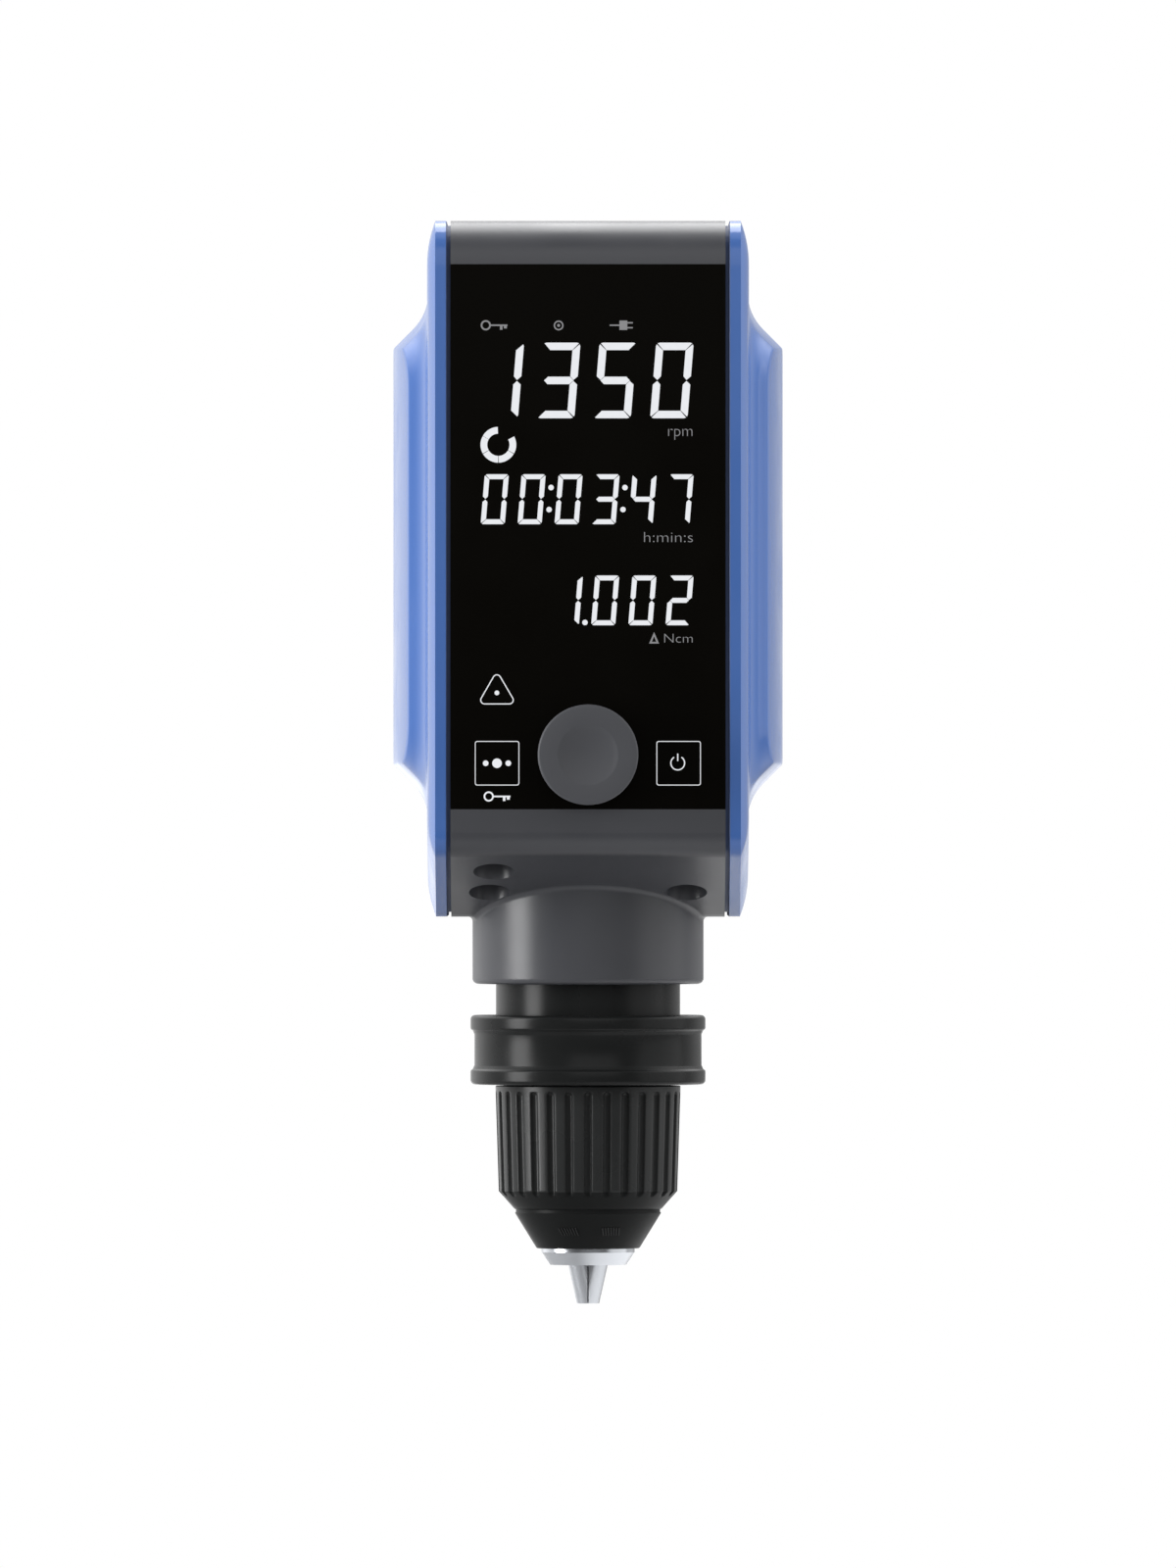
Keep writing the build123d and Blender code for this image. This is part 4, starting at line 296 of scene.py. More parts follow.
def fitted(name, form, body, finish, sharp_from):
    """Closes a bmesh into a named piece that rides on body and wears finish.

    Edges that turn by sharp_from degrees or more stay sharp.
    """
    bmesh.ops.remove_doubles(form, verts=form.verts, dist=1e-7)
    bmesh.ops.recalc_face_normals(form, faces=form.faces)
    mesh = bpy.data.meshes.new(name)
    form.to_mesh(mesh)
    form.free()
    for face in mesh.polygons:
        face.use_smooth = True
    mesh.set_sharp_from_angle(angle=radians(sharp_from))
    piece = bpy.data.objects.new(name, mesh)
    bpy.context.scene.collection.objects.link(piece)
    mesh.materials.append(finish)
    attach(piece, body)
    return piece


casting_paint = skin("casting_paint", screen_colour(64, 65, 69), 0.34, 0.30, 3.0, 0.05, level=0.4)
dress("central_frame", casting_paint)

# ---------------------------------------------------------------- neck blends of the casting
# Where the round neck leaves the sloped underside, the casting has a small hollow blend,
# and the neck's foot is rolled over. Both are part of the casting and wear its paint.
BLEND = 1.1
BLEND_SUNK = 0.3
FOOT_ROLL = 1.3
FOOT_SUNK = 2.0
ROUND_STEPS = 128


def ring_of_sections(form, sections):
    """Joins equal closed sections, one after the other, into a ring."""
    rows = [[form.verts.new(point) for point in section] for section in sections]
    for row, after in zip(rows, rows[1:] + rows[:1]):
        for k in range(len(row)):
            form.faces.new((row[k], row[k - 1], after[k - 1], after[k]))


blend_sections, foot_sections = [], []
for step in range(ROUND_STEPS):
    turn = 2 * pi * step / ROUND_STEPS
    out, up = Vector((cos(turn), sin(turn), 0)) * MM, Vector((0, 0, MM))
    slope_z = CHIN_Z + (HEAD_FRONT_Y - NECK_R * sin(turn)) * CHIN_SLOPE
    rise = -sin(turn) * CHIN_SLOPE if slope_z > HEAD_UNDER_Z else 0.0
    root = out * NECK_R + up * max(slope_z, HEAD_UNDER_Z)
    blend = [root - out * BLEND_SUNK + up * BLEND_SUNK]
    foot = [out * (NECK_R - FOOT_SUNK) + up * (NECK_FOOT_Z + FOOT_ROLL + BLEND_SUNK)]
    for k in range(7):
        bend = pi / 2 * k / 6
        run, drop = BLEND * (1 - sin(bend)), BLEND * (1 - cos(bend))
        blend.append(root + out * run + up * (rise * run - drop))
        reach = NECK_R + 0.01 - FOOT_ROLL * (1 - cos(bend))
        foot.append(out * reach + up * (NECK_FOOT_Z + FOOT_ROLL * (1 - sin(bend))))
    blend.append(root - out * BLEND_SUNK - up * BLEND)
    foot.append(out * (NECK_R - FOOT_SUNK) + up * NECK_FOOT_Z)
    blend_sections.append(blend)
    foot_sections.append(foot)
for name, sections in (("neck_root_blend", blend_sections), ("neck_foot_roll", foot_sections)):
    form = bmesh.new()
    ring_of_sections(form, sections)
    fitted(name, form, "head", casting_paint, 60)

# ---------------------------------------------------------------- side covers
# Two mirrored shells of moulded blue plastic close the sides: a rim with a shadow groove
# to the casting, a crowned face and a long arched bulge, its flank at 45 degrees. They are
# 2.4 mm thick and screwed on from inside through four bosses each. The step and lip in the
# groove wear a darker, duller blue: painted shade.
COVER_MID_Y = 14.0
COVER_MID_Z = 163.45
LIP_X, RIM_X, CROWN_X, FACE_X, BULGE_X = 31.5, 32.4, 35.0, 36.9, 45.0
GROOVE_DEPTH = 1.1
WALL = 2.4
CROWN_RUN = 10.0
CROWN_R = 27.26
BULGE_HALF_Y = 34.3
BULGE_HALF_Z = 44.35
BULGE_BOW = 3.7
BULGE_CORNER = 7.5
BULGE_ARCH_R = (38.0**2 + BULGE_BOW**2) / (2 * BULGE_BOW)
BULGE_BOW_R = (BULGE_HALF_Y**2 + BULGE_BOW**2) / (2 * BULGE_BOW)
ROOT_R = 12.0
CREASE_SOFT = 0.45
BOSS_R, BOSS_BORE_R, BOSS_SUNK = 4.5, 1.6, 0.4
BOSS_PLACES = ((-28.0, 231.5), (56.0, 231.5), (61.0, 88.8), (-36.0, 110.6))


def bulge_outline():
    """Points and outward normals around the bulge, (y, z) about its middle."""
    quarter = []
    inner_half = BULGE_HALF_Y - BULGE_CORNER
    bow_mid = BULGE_HALF_Z + BULGE_BOW - BULGE_BOW_R
    inner_r = BULGE_BOW_R - BULGE_CORNER
    corner_z = bow_mid + sqrt(inner_r**2 - inner_half**2)
    corner_turn = atan2(corner_z - bow_mid, inner_half)
    for k in range(30):
        quarter.append(((BULGE_HALF_Y, corner_z * (k / 30)), (1.0, 0.0)))
    for k in range(40):
        turn = corner_turn * k / 40
        out = (cos(turn), sin(turn))
        y, z = inner_half + BULGE_CORNER * out[0], corner_z + BULGE_CORNER * out[1]
        quarter.append(((y, z), out))
    for k in range(40):
        turn = corner_turn + (pi / 2 - corner_turn) * k / 40
        out = (cos(turn), sin(turn))
        quarter.append(((BULGE_BOW_R * out[0], bow_mid + BULGE_BOW_R * out[1]), out))
    half = quarter + [((0.0, BULGE_HALF_Z + BULGE_BOW), (0.0, 1.0))]
    half += [((-p[0], p[1]), (-n[0], n[1])) for p, n in reversed(quarter)]
    return half + [((p[0], -p[1]), (n[0], -n[1])) for p, n in reversed(half[1:-1])]


def head_outline(inset):
    """Side view of the head, (y, z) points about the bulge's middle, moved in by inset."""
    lean = inset * sqrt(1 + CHIN_SLOPE**2)
    front, back = HEAD_FRONT_Y + inset, HEAD_BACK_Y - inset
    top, under = HEAD_TOP_Z - inset, HEAD_UNDER_Z + inset
    slope_end = HEAD_FRONT_Y + (CHIN_Z - HEAD_UNDER_Z + lean - inset) / CHIN_SLOPE
    corners = (
        (front, top, 10.0),
        (back, top, 20.0),
        (back, under, 15.0),
        (slope_end, under, 8.0),
        (front, CHIN_Z + lean - inset * CHIN_SLOPE, 6.0),
    )
    points = []
    for k, (y, z, full_r) in enumerate(corners):
        here = Vector((y, z))
        before = (Vector(corners[k - 1][:2]) - here).normalized()
        after = (Vector(corners[(k + 1) % 5][:2]) - here).normalized()
        half_turn = acos(max(-1, min(1, before.dot(after)))) / 2
        r = max(full_r - inset, 2.5)
        middle = here + (before + after).normalized() * (r / sin(half_turn))
        start = here + before * (r / tan(half_turn)) - middle
        sweep = pi - 2 * half_turn
        turn_way = 1 if before.cross(after) < 0 else -1
        for step in range(25):
            turn = turn_way * sweep * step / 24
            points.append(
                (
                    middle.x + start.x * cos(turn) - start.y * sin(turn) - COVER_MID_Y,
                    middle.y + start.x * sin(turn) + start.y * cos(turn) - COVER_MID_Z,
                )
            )
    dense = []
    for a, b in zip(points, points[1:] + points[:1]):
        pieces = max(1, int(hypot(b[0] - a[0], b[1] - a[1]) / 2.0))
        for step in range(pieces):
            share = step / pieces
            dense.append((a[0] + (b[0] - a[0]) * share, a[1] + (b[1] - a[1]) * share))
    return dense


def by_angle(points):
    """(angle, index) of points around the middle, by rising angle."""
    return sorted((atan2(z, y), k) for k, (y, z) in enumerate(points))


def brackets(points, angles):
    """The outline's points to either side of each angle, as two (angle, index) pairs."""
    order = by_angle(points)
    (first, first_k), (last, last_k) = order[0], order[-1]
    order = [(last - 2 * pi, last_k)] + order + [(first + 2 * pi, first_k)]
    found, at = [], 0
    for angle in angles:
        while order[at + 1][0] < angle:
            at += 1
        found.append((order[at], order[at + 1]))
    return found


def reach_at(points, angles):
    """Points where rays at these angles cross a closed outline around the middle."""
    found = []
    for angle, ((_, k0), (_, k1)) in zip(angles, brackets(points, angles)):
        (y0, z0), (y1, z1) = points[k0], points[k1]
        c, s = cos(angle), sin(angle)
        across = (y1 - y0) * s - (z1 - z0) * c
        share = (z0 * c - y0 * s) / across if abs(across) > 1e-12 else 0.0
        share = max(0.0, min(1.0, share))
        found.append((y0 + (y1 - y0) * share, z0 + (z1 - z0) * share))
    return found


def arch_x(y):
    """Height of the bulge's arched face over the head's middle plane, y from its middle."""
    return BULGE_X - BULGE_ARCH_R + sqrt(BULGE_ARCH_R**2 - y**2)


bulge = bulge_outline()
root_run = BULGE_X - FACE_X + ROOT_R * tan(radians(22.5))
root_ring = [(p[0] + n[0] * root_run, p[1] + n[1] * root_run) for p, n in bulge]
ray_angles = [a for a, k in by_angle(root_ring) if k % 2 == 0]
ray_angles += [a for a, k in by_angle(head_outline(0.0)) if k % 3 == 0]
ray_angles.sort()
ray_angles = [a for k, a in enumerate(ray_angles) if k == 0 or a - ray_angles[k - 1] > 0.004]
ribs = []
for angle, ((a0, k0), (a1, k1)) in zip(ray_angles, brackets(root_ring, ray_angles)):
    share = (angle - a0) / (a1 - a0)
    (p0, n0), (p1, n1) = bulge[k0], bulge[k1]
    spot = [p0[i] + (p1[i] - p0[i]) * share for i in (0, 1)]
    out = Vector([n0[i] + (n1[i] - n0[i]) * share for i in (0, 1)]).normalized()
    ribs.append((spot, out))


def bulge_skin(thin):
    """Rings of the bulge from its middle to its flank, thinner by thin."""
    start = -thin * sqrt(2)
    crease = []
    for spot, out in ribs:
        run = BULGE_BOW
        for _ in range(8):
            run = BULGE_X - arch_x(spot[0] + out.x * (start + run)) + thin
        crease.append((spot[0] + out.x * (start + run), spot[1] + out.y * (start + run), run))
    rings = []
    for share in (0.02, 0.14, 0.28, 0.42, 0.56, 0.7, 0.82, 0.91, 0.965):
        rings.append([(arch_x(y * share) - thin, y * share, z * share) for y, z, _ in crease])
    for ease, sink in ((-CREASE_SOFT, 0.03), (0.0, 0.1), (CREASE_SOFT, 0.02)):
        ring = []
        for (spot, out), (y, z, run) in zip(ribs, crease):
            at_y, at_z = y + out.x * max(ease, 0) * 0.7, z + out.y * max(ease, 0) * 0.7
            if ease < 0:
                at_y, at_z = y + out.x * ease, z + out.y * ease
            height = arch_x(at_y) - thin if ease <= 0 else BULGE_X - run - ease * 0.7
            ring.append((height - sink, at_y, at_z))
        rings.append(ring)
    return rings


def cover_rings():
    """All rings of one cover, (x, y, z) about the bulge's middle: outside, lip, inside."""
    rings = bulge_skin(0.0)
    for k in range(9):
        bend = radians(45) * (1 - k / 8)
        away = root_run - ROOT_R * sin(bend)
        height = FACE_X + ROOT_R * (1 - cos(bend))
        rings.append([(height, s[0] + o.x * away, s[1] + o.y * away) for s, o in ribs])
    for k in range(8):
        run = CROWN_RUN * k / 7
        height = FACE_X - CROWN_R + sqrt(CROWN_R**2 - run**2)
        edge = reach_at(head_outline(CROWN_RUN - run), ray_angles)
        rings.append([(height, y, z) for y, z in edge])
    rim = [(0.0, CROWN_X - 0.18), (0.0, RIM_X + 0.15), (0.12, RIM_X)]
    rim += [(GROOVE_DEPTH, RIM_X), (GROOVE_DEPTH, LIP_X)]
    rim += [(GROOVE_DEPTH + WALL, LIP_X), (GROOVE_DEPTH + WALL, FACE_X - WALL)]
    for inset, height in rim:
        rings.append([(height, y, z) for y, z in reach_at(head_outline(inset), ray_angles)])
    inside = bulge_skin(WALL)
    foot = BULGE_X - (FACE_X - WALL) - WALL * sqrt(2)
    rings.append([(FACE_X - WALL, s[0] + o.x * foot, s[1] + o.y * foot) for s, o in ribs])
    return rings + inside[::-1]


cover_blue = skin("cover_blue", screen_colour(65, 101, 166), 0.18, 0.30, 0.5, 0.03)
# The groove's step and lip wear a darker, duller blue: painted shade in the recess.
lip_painted_shade = skin("lip_painted_shade", screen_colour(54, 70, 108), 0.5, 0.22, 2.0, 0.03, level=0.3)
for side, side_name in ((1, "right"), (-1, "left")):
    form = bmesh.new()
    rows = []
    for ring in cover_rings():
        spots = [(side * x, y + COVER_MID_Y, z + COVER_MID_Z) for x, y, z in ring]
        rows.append([form.verts.new((x * MM, y * MM, z * MM)) for x, y, z in spots])
    for row, after in zip(rows, rows[1:]):
        for k in range(len(row)):
            form.faces.new((row[k - 1], row[k], after[k], after[k - 1]))
    form.faces.new(rows[0])
    form.faces.new(rows[-1])
    # Faces inside the rim, down in the groove, take the darker blue: painted shade.
    for face in form.faces:
        if all(abs(vert.co.x) < (RIM_X + 0.17) * MM for vert in face.verts):
            face.material_index = 1
    boss_end = FACE_X - WALL + BOSS_SUNK
    boss_outline = [(LIP_X, BOSS_BORE_R), (LIP_X, BOSS_R)]
    boss_outline += [(boss_end, BOSS_R), (boss_end, BOSS_BORE_R)]
    for boss_y, boss_z in BOSS_PLACES:
        tube = []
        for x, r in boss_outline:
            circle = [(r * cos(2 * pi * k / 32), r * sin(2 * pi * k / 32)) for k in range(32)]
            tube.append([(side * x * MM, (boss_y + y) * MM, (boss_z + z) * MM) for y, z in circle])
        ring_of_sections(form, tube)
    cover = fitted(f"{side_name}_cover_shell", form, "head", cover_blue, 30)
    cover.data.materials.append(lip_painted_shade)
    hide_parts(f"{side_name}_side_cover")

# ---------------------------------------------------------------- front window and its marks
# The display front is one black polycarbonate pane, hard coated and glued on a gasket. The
# readouts are lit segments in its face, the other signs are printed, light grey or white.
# The printed signs are made to glow as well: painted light.
# A mark is a film 0.05 mm thick, half sunk in the pane. Its places (u, v) are grid steps of
# 0.225 mm: u rises to the right, and v counts down to the height of the chuck's nose face.
STEP = 0.225 * MM
MIDDLE_U, NOSE_V = 600.0, 1293.0
FILM = 0.05 * MM
LEAN = tan(radians(4.7))
DOT_R, DOT_STEPS = 2.8, 24

window_black = skin("window_black", screen_colour(9, 8, 6), 0.16, 3.0, 0.6, 0.02, level=0.03)
dress("front_window", window_black)
soft_black = skin("soft_black", screen_colour(20, 20, 20), 0.75, 0.4, 12.0, 0.06, level=0.3)
dress("window_gasket", soft_black)


def lit(name, colour, share):
    """A lit film: it glows evenly, with a fine cell pattern in its brightness. On printed marks
    the glow is painted light.
    """
    made = bpy.data.materials.new(name)
    made.use_nodes = True
    nodes, links = made.node_tree.nodes, made.node_tree.links
    shader = nodes["Principled BSDF"]
    shader.inputs["Base Color"].default_value = (0.02, 0.02, 0.02, 1)
    shader.inputs["Roughness"].default_value = 0.5
    shader.inputs["Specular IOR Level"].default_value = 0.05
    shader.inputs["Emission Strength"].default_value = share
    place = nodes.new("ShaderNodeTexCoord")
    cells = nodes.new("ShaderNodeTexNoise")
    cells.inputs["Scale"].default_value = 900.0
    tint = nodes.new("ShaderNodeMix")
    tint.data_type = "RGBA"
    tint.inputs["A"].default_value = (*[c * 0.96 for c in colour], 1)
    tint.inputs["B"].default_value = (*[min(c * 1.03, 1) for c in colour], 1)
    links.new(place.outputs["Object"], cells.inputs["Vector"])
    links.new(cells.outputs["Fac"], tint.inputs["Factor"])
    links.new(tint.outputs["Result"], shader.inputs["Emission Color"])
    return made


lit_white = lit("lit_white", screen_colour(232, 234, 238), 1.0)
# Grey print made to glow evenly: painted light.
grey_print_painted_glow = lit("grey_print_painted_glow", screen_colour(140, 140, 142), 0.9)


def on_pane(u, v, depth):
    """The place of grid step (u, v), depth off the pane."""
    return Vector(((u - MIDDLE_U) * STEP, HEAD_FRONT_Y * MM - depth, (NOSE_V - v) * STEP))


def film(form, loop):
    """One filled flat shape of the film, from its (u, v) corners."""
    front = [form.verts.new(on_pane(u, v, FILM / 2)) for u, v in loop]
    back = [form.verts.new(on_pane(u, v, -FILM / 2)) for u, v in loop]
    form.faces.new(front)
    form.faces.new(back[::-1])
    for k in range(len(loop)):
        form.faces.new((front[k - 1], front[k], back[k], back[k - 1]))


def film_line(form, outer, inner, closed=True):
    """A drawn line between two loops of equal length."""
    count = len(outer)
    for k in range(0 if closed else 1, count):
        film(form, (outer[k - 1], outer[k], inner[k], inner[k - 1]))


SEGMENTS = {"0": "abcdef", "1": "bc", "2": "abged", "3": "abgcd"}
SEGMENTS.update({"4": "fgbc", "5": "afgcd", "7": "abc"})


def segment_loops(width, height, stroke, gap):
    """The seven segments of one upright digit, (across, up) from its lower left corner."""
    w, h, s, g, m = width, height, stroke, gap, height / 2
    k = s * 0.45
    top = [(k + g, h), (w - k - g, h), (w - 0.35 * k - g, h - 0.2 * k)]
    top += [(w - s - g, h - s), (s + g, h - s), (0.35 * k + g, h - 0.2 * k)]
    right = [(w, m + 0.55 * s), (w, h - k), (w - 0.22 * k, h - 0.42 * k - g), (w - s, h - s - g)]
    right += [(w - s, m + 0.55 * s), (w - 0.55 * s, m + g * 1.6)]
    middle = [(0.5 * s + g, m), (s + g, m + 0.5 * s), (w - s - g, m + 0.5 * s)]
    middle += [(w - 0.5 * s - g, m), (w - s - g, m - 0.5 * s), (s + g, m - 0.5 * s)]

    def down(loop):
        return [(x, h - y) for x, y in reversed(loop)]

    def across(loop):
        return [(w - x, y) for x, y in reversed(loop)]

    left = across(right)
    loops = (top, right, down(right), down(top), down(left), left, middle)
    return dict(zip("abcdefg", loops))


def readout(form, digits, foot, width, height, stroke, gap):
    """Slanted digits at (character, left edge of its foot) places, standing on v = foot."""
    loops = segment_loops(width, height, stroke, gap)
    for digit, left in digits:
        for letter in SEGMENTS[digit]:
            film(form, [(left + x + y * LEAN, foot - y) for x, y in loops[letter]])


def round_mark(form, u, v, radius):
    """A filled round dot."""
    turns = [2 * pi * k / DOT_STEPS for k in range(DOT_STEPS)]
    film(form, [(u + radius * cos(t), v + radius * sin(t)) for t in turns])


def arc_line(form, u, v, outer_r, inner_r, start, end, steps):
    """A round line from start to end, in degrees, anticlockwise from the right."""
    turns = [radians(start + (end - start) * k / steps) for k in range(steps + 1)]
    film_line(
        form,
        [(u + outer_r * cos(t), v - outer_r * sin(t)) for t in turns],
        [(u + inner_r * cos(t), v - inner_r * sin(t)) for t in turns],
        closed=False,
    )


def bar(form, u0, v0, u1, v1):
    """A filled upright rectangle between two corners."""
    film(form, [(u0, v0), (u1, v0), (u1, v1), (u0, v1)])


speed_digits = (("1", 490.6), ("3", 548.0), ("5", 605.4), ("0", 663.1))
speed = bmesh.new()
readout(speed, speed_digits, foot=428.0, width=38.1, height=76.9, stroke=7.6, gap=0.3)
fitted("speed_readout", speed, "head", lit_white, 20)

time_digits = (("0", 490.8), ("0", 528.3), ("0", 565.9), ("3", 603.5), ("4", 641.2), ("7", 678.8))
timer = bmesh.new()
readout(timer, time_digits, foot=535.8, width=24.5, height=50.8, stroke=5.0, gap=0.25)
for u, v in ((562.4, 498.5), (560.4, 520.9), (637.6, 498.5), (635.6, 520.9)):
    round_mark(timer, u, v, DOT_R)
fitted("time_readout", timer, "head", lit_white, 20)

torque_digits = (("1", 566.2), ("0", 603.2), ("0", 641.0), ("2", 678.8))
torque = bmesh.new()
readout(torque, torque_digits, foot=638.6, width=24.5, height=50.6, stroke=5.0, gap=0.25)
round_mark(torque, 596.9, 635.8, DOT_R)
fitted("torque_readout", torque, "head", lit_white, 20)

# Lit signs: the ring of six segments that shows the turning, one of them off, and a
# rounded triangle with a plain dot.
signs = bmesh.new()
for first, last in ((92, 150), (151, 209), (211, 269), (271, 329), (331, 388)):
    arc_line(signs, 508.8, 455.0, 18.2, 11.3, first, last, 10)
triangle = ((507.3, 693.0, 90), (494.8, 714.7, 210), (520.0, 714.7, 330))
loops = []
for reach in (4.5, 3.4):
    loop = []
    for u, v, middle_turn in triangle:
        for step in range(9):
            turn = radians(middle_turn - 60 + 15 * step)
            loop.append((u + reach * cos(turn), v - reach * sin(turn)))
    loops.append(loop)
film_line(signs, *loops)
round_mark(signs, 507.3, 707.4, 2.4)
fitted("lit_signs", signs, "head", lit_white, 20)


def key_sign(form, u, v):
    """A lock sign: a round key, its ring at the left and two teeth at the right."""
    arc_line(form, u, v, 5.2, 3.5, 0, 360, 28)
    bar(form, u + 4.9, v - 0.8, u + 22.0, v + 0.8)
    bar(form, u + 14.4, v + 0.8, u + 17.0, v + 4.6)
    bar(form, u + 18.4, v + 0.8, u + 21.4, v + 3.2)


# Printed grey signs: a key, a sensor dot in a ring and a plain plug over the speed, and a
# small triangle before the torque's unit. They glow evenly: painted light.
small_signs = bmesh.new()
key_sign(small_signs, 496.0, 333.4)
arc_line(small_signs, 570.1, 333.6, 5.0, 3.6, 0, 360, 28)
round_mark(small_signs, 570.1, 333.6, 1.5)
bar(small_signs, 622.0, 332.7, 632.0, 334.1)
bar(small_signs, 632.0, 328.6, 640.0, 338.2)
bar(small_signs, 640.0, 330.2, 645.6, 331.6)
bar(small_signs, 640.0, 335.2, 645.6, 336.6)
delta_outer = ((667.2, 645.6), (662.2, 657.2), (672.2, 657.2))
delta_inner = ((667.2, 649.9), (664.9, 655.5), (669.5, 655.5))
film_line(small_signs, delta_outer, delta_inner)
fitted("printed_signs_painted_glow", small_signs, "head", grey_print_painted_glow, 20)

LETTER_THINNING = 0.018


def lettering(name, words, u0, u1, foot, tall, tall_of):
    """Printed grey letters between u0 and u1, tall_of standing tall above foot; they glow evenly,
    as painted light.
    """
    text = bpy.data.curves.new(name + "_text", "FONT")
    text.body = tall_of
    text.offset = -LETTER_THINNING
    holder = bpy.data.objects.new(name + "_text", text)
    measure = bpy.data.meshes.new_from_object(holder)
    high = max(vert.co.y for vert in measure.vertices)
    text.body = words
    text.extrude = 0.5
    letters = bpy.data.meshes.new_from_object(holder)
    low_x = min(vert.co.x for vert in letters.vertices)
    high_x = max(vert.co.x for vert in letters.vertices)
    for vert in letters.vertices:
        u = u0 + (vert.co.x - low_x) / (high_x - low_x) * (u1 - u0)
        v = foot - vert.co.y / high * tall
        vert.co = on_pane(u, v, FILM * vert.co.z)
    form = bmesh.new()
    form.from_mesh(letters)
    bpy.data.objects.remove(holder)
    bpy.data.curves.remove(text)
    bpy.data.meshes.remove(measure)
    bpy.data.meshes.remove(letters)
    fitted(name, form, "head", grey_print_painted_glow, 20)


lettering("speed_unit", "rpm", 681.6, 706.2, 446.3, 7.3, "x")
lettering("torque_unit", "Ncm", 677.6, 706.4, 656.4, 9.0, "N")
lettering("time_unit", "h:min:s", 657.0, 706.6, 554.2, 10.4, "h")

# ---------------------------------------------------------------- keys
# Two square keys are level with the pane, black as it is. A white frame is printed round
# each; the left key carries three dots and, under it, a lock sign; the right the on/off sign.
# The printed frames glow with the lit white: painted light.
MENU_U, POWER_U = 507.5, 692.2
KEY_V = 779.0
for node in ("menu_key", "power_key"):
    dress(node, window_black)


def rounded_square(u, v, half, corner):
    """Corners of a square with rounded corners, about its middle."""
    loop = []
    for k in range(4):
        turn = radians(45 + 90 * k)
        mid_u = u + (half - corner) * (1 if cos(turn) > 0 else -1)
        mid_v = v + (half - corner) * (1 if sin(turn) > 0 else -1)
        for step in range(7):
            bend = turn + radians(-45 + 15 * step)
            loop.append((mid_u + corner * cos(bend), mid_v + corner * sin(bend)))
    return loop


frames = bmesh.new()
for key_u in (MENU_U, POWER_U):
    outer, inner = rounded_square(key_u, KEY_V, 22.6, 2.4), rounded_square(key_u, KEY_V, 21.8, 1.8)
    film_line(frames, outer, inner)
key_sign(frames, 499.0, 812.8)
# The printed frames glow with the lit white: painted light.
fitted("key_frames", frames, "head", lit_white, 20)
menu_sign = bmesh.new()
for u, radius in ((495.9, 2.9), (507.4, 4.9), (518.9, 2.9)):
    round_mark(menu_sign, u, KEY_V, radius)
fitted("menu_sign", menu_sign, "menu_button", lit_white, 20)
power_sign = bmesh.new()
arc_line(power_sign, 691.3, 778.8, 7.6, 6.4, 122, 418, 30)
bar(power_sign, 690.7, 769.2, 691.9, 776.8)
fitted("power_sign", power_sign, "power_button", lit_white, 20)

# ---------------------------------------------------------------- control knob
# The knob is turned from aluminium, bead blasted and dyed dark grey: a fine bright break on
# its front edge and a shallow dish for a fingertip. It sits on the encoder's shaft.
KNOB_Z = 117.6
KNOB_R = 11.5
KNOB_FACE = 60.0
KNOB_BREAK = 0.6
DISH_R, DISH_DEPTH = 6.6, 0.9
FRONTWARD = Matrix(((1, 0, 0, 0), (0, 0, -1, 0), (0, 1, 0, 0), (0, 0, 0, 1)))


def turned_row(form, radius, height, steps):
    """A circle of points about Z, in millimetres."""
    turns = [2 * pi * k / steps for k in range(steps)]
    spots = [(radius * cos(t), radius * sin(t), height) for t in turns]
    return [form.verts.new((x * MM, y * MM, z * MM)) for x, y, z in spots]


def turned(form, outline, steps, closed=False):
    """Turns an outline of (radius, height) millimetres about Z; closed ones are rings."""
    rows = [turned_row(form, radius, height, steps) for radius, height in outline]
    for row, after in zip(rows, rows[1:] + (rows[:1] if closed else [])):
        for k in range(steps):
            form.faces.new((row[k - 1], row[k], after[k], after[k - 1]))
    if not closed:
        form.faces.new(rows[0])
        form.faces.new(rows[-1])


knob_grey = skin("knob_grey", screen_colour(70, 71, 75), 0.48, 0.16, 4.0, 0.03, level=0.35)
knob_outline = [(2.5, 57.0), (2.5, 52.8), (5.0, 52.8), (5.0, 49.2)]
knob_outline += [(KNOB_R - 0.4, 49.2), (KNOB_R, 49.6)]
for k in range(7):
    bend = pi / 2 * k / 6
    across, up = KNOB_BREAK * (1 - cos(bend)), KNOB_BREAK * (1 - sin(bend))
    knob_outline.append((KNOB_R - across, KNOB_FACE - up))
knob_outline += [(7.1, KNOB_FACE), (6.85, KNOB_FACE - 0.03), (DISH_R, KNOB_FACE - 0.15)]
for r in (5.5, 4.5, 3.5, 2.5, 1.5, 0.6):
    knob_outline.append((r, KNOB_FACE - 0.15 - DISH_DEPTH * (1 - (r / DISH_R) ** 2)))
knob_form = bmesh.new()
turned(knob_form, knob_outline, 144)
knob_form.transform(Matrix.Translation((0, 0, KNOB_Z * MM)) @ FRONTWARD)
knob = fitted("knob_turned", knob_form, "knob_turn", knob_grey, 40)
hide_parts("control_knob")

# ---------------------------------------------------------------- hub and lock ring
# A glass-filled black plastic hub closes the foot of the neck around the shaft seal. The
# lock ring slides on it: two rounded rims with a hollow band between, twelve keys inside.
RING_LOW, RING_MIDDLE, RING_TOP = 41.6, 49.6, 57.6
RING_BORE, RIM_R, BAND_R = 21.35, 27.1, 26.2
RING_KEYS = 12
RING_KEY_SIZE = (2.2, 3.0, 7.7)
RING_KEY_PLACE = (20.5, 0.0, 47.45)
black_plastic = skin("black_plastic", screen_colour(27, 28, 28), 0.26, 0.18, 1.0, 0.03, level=0.15)
dress("lock_hub", black_plastic)
dress("shaft_seal", soft_black)

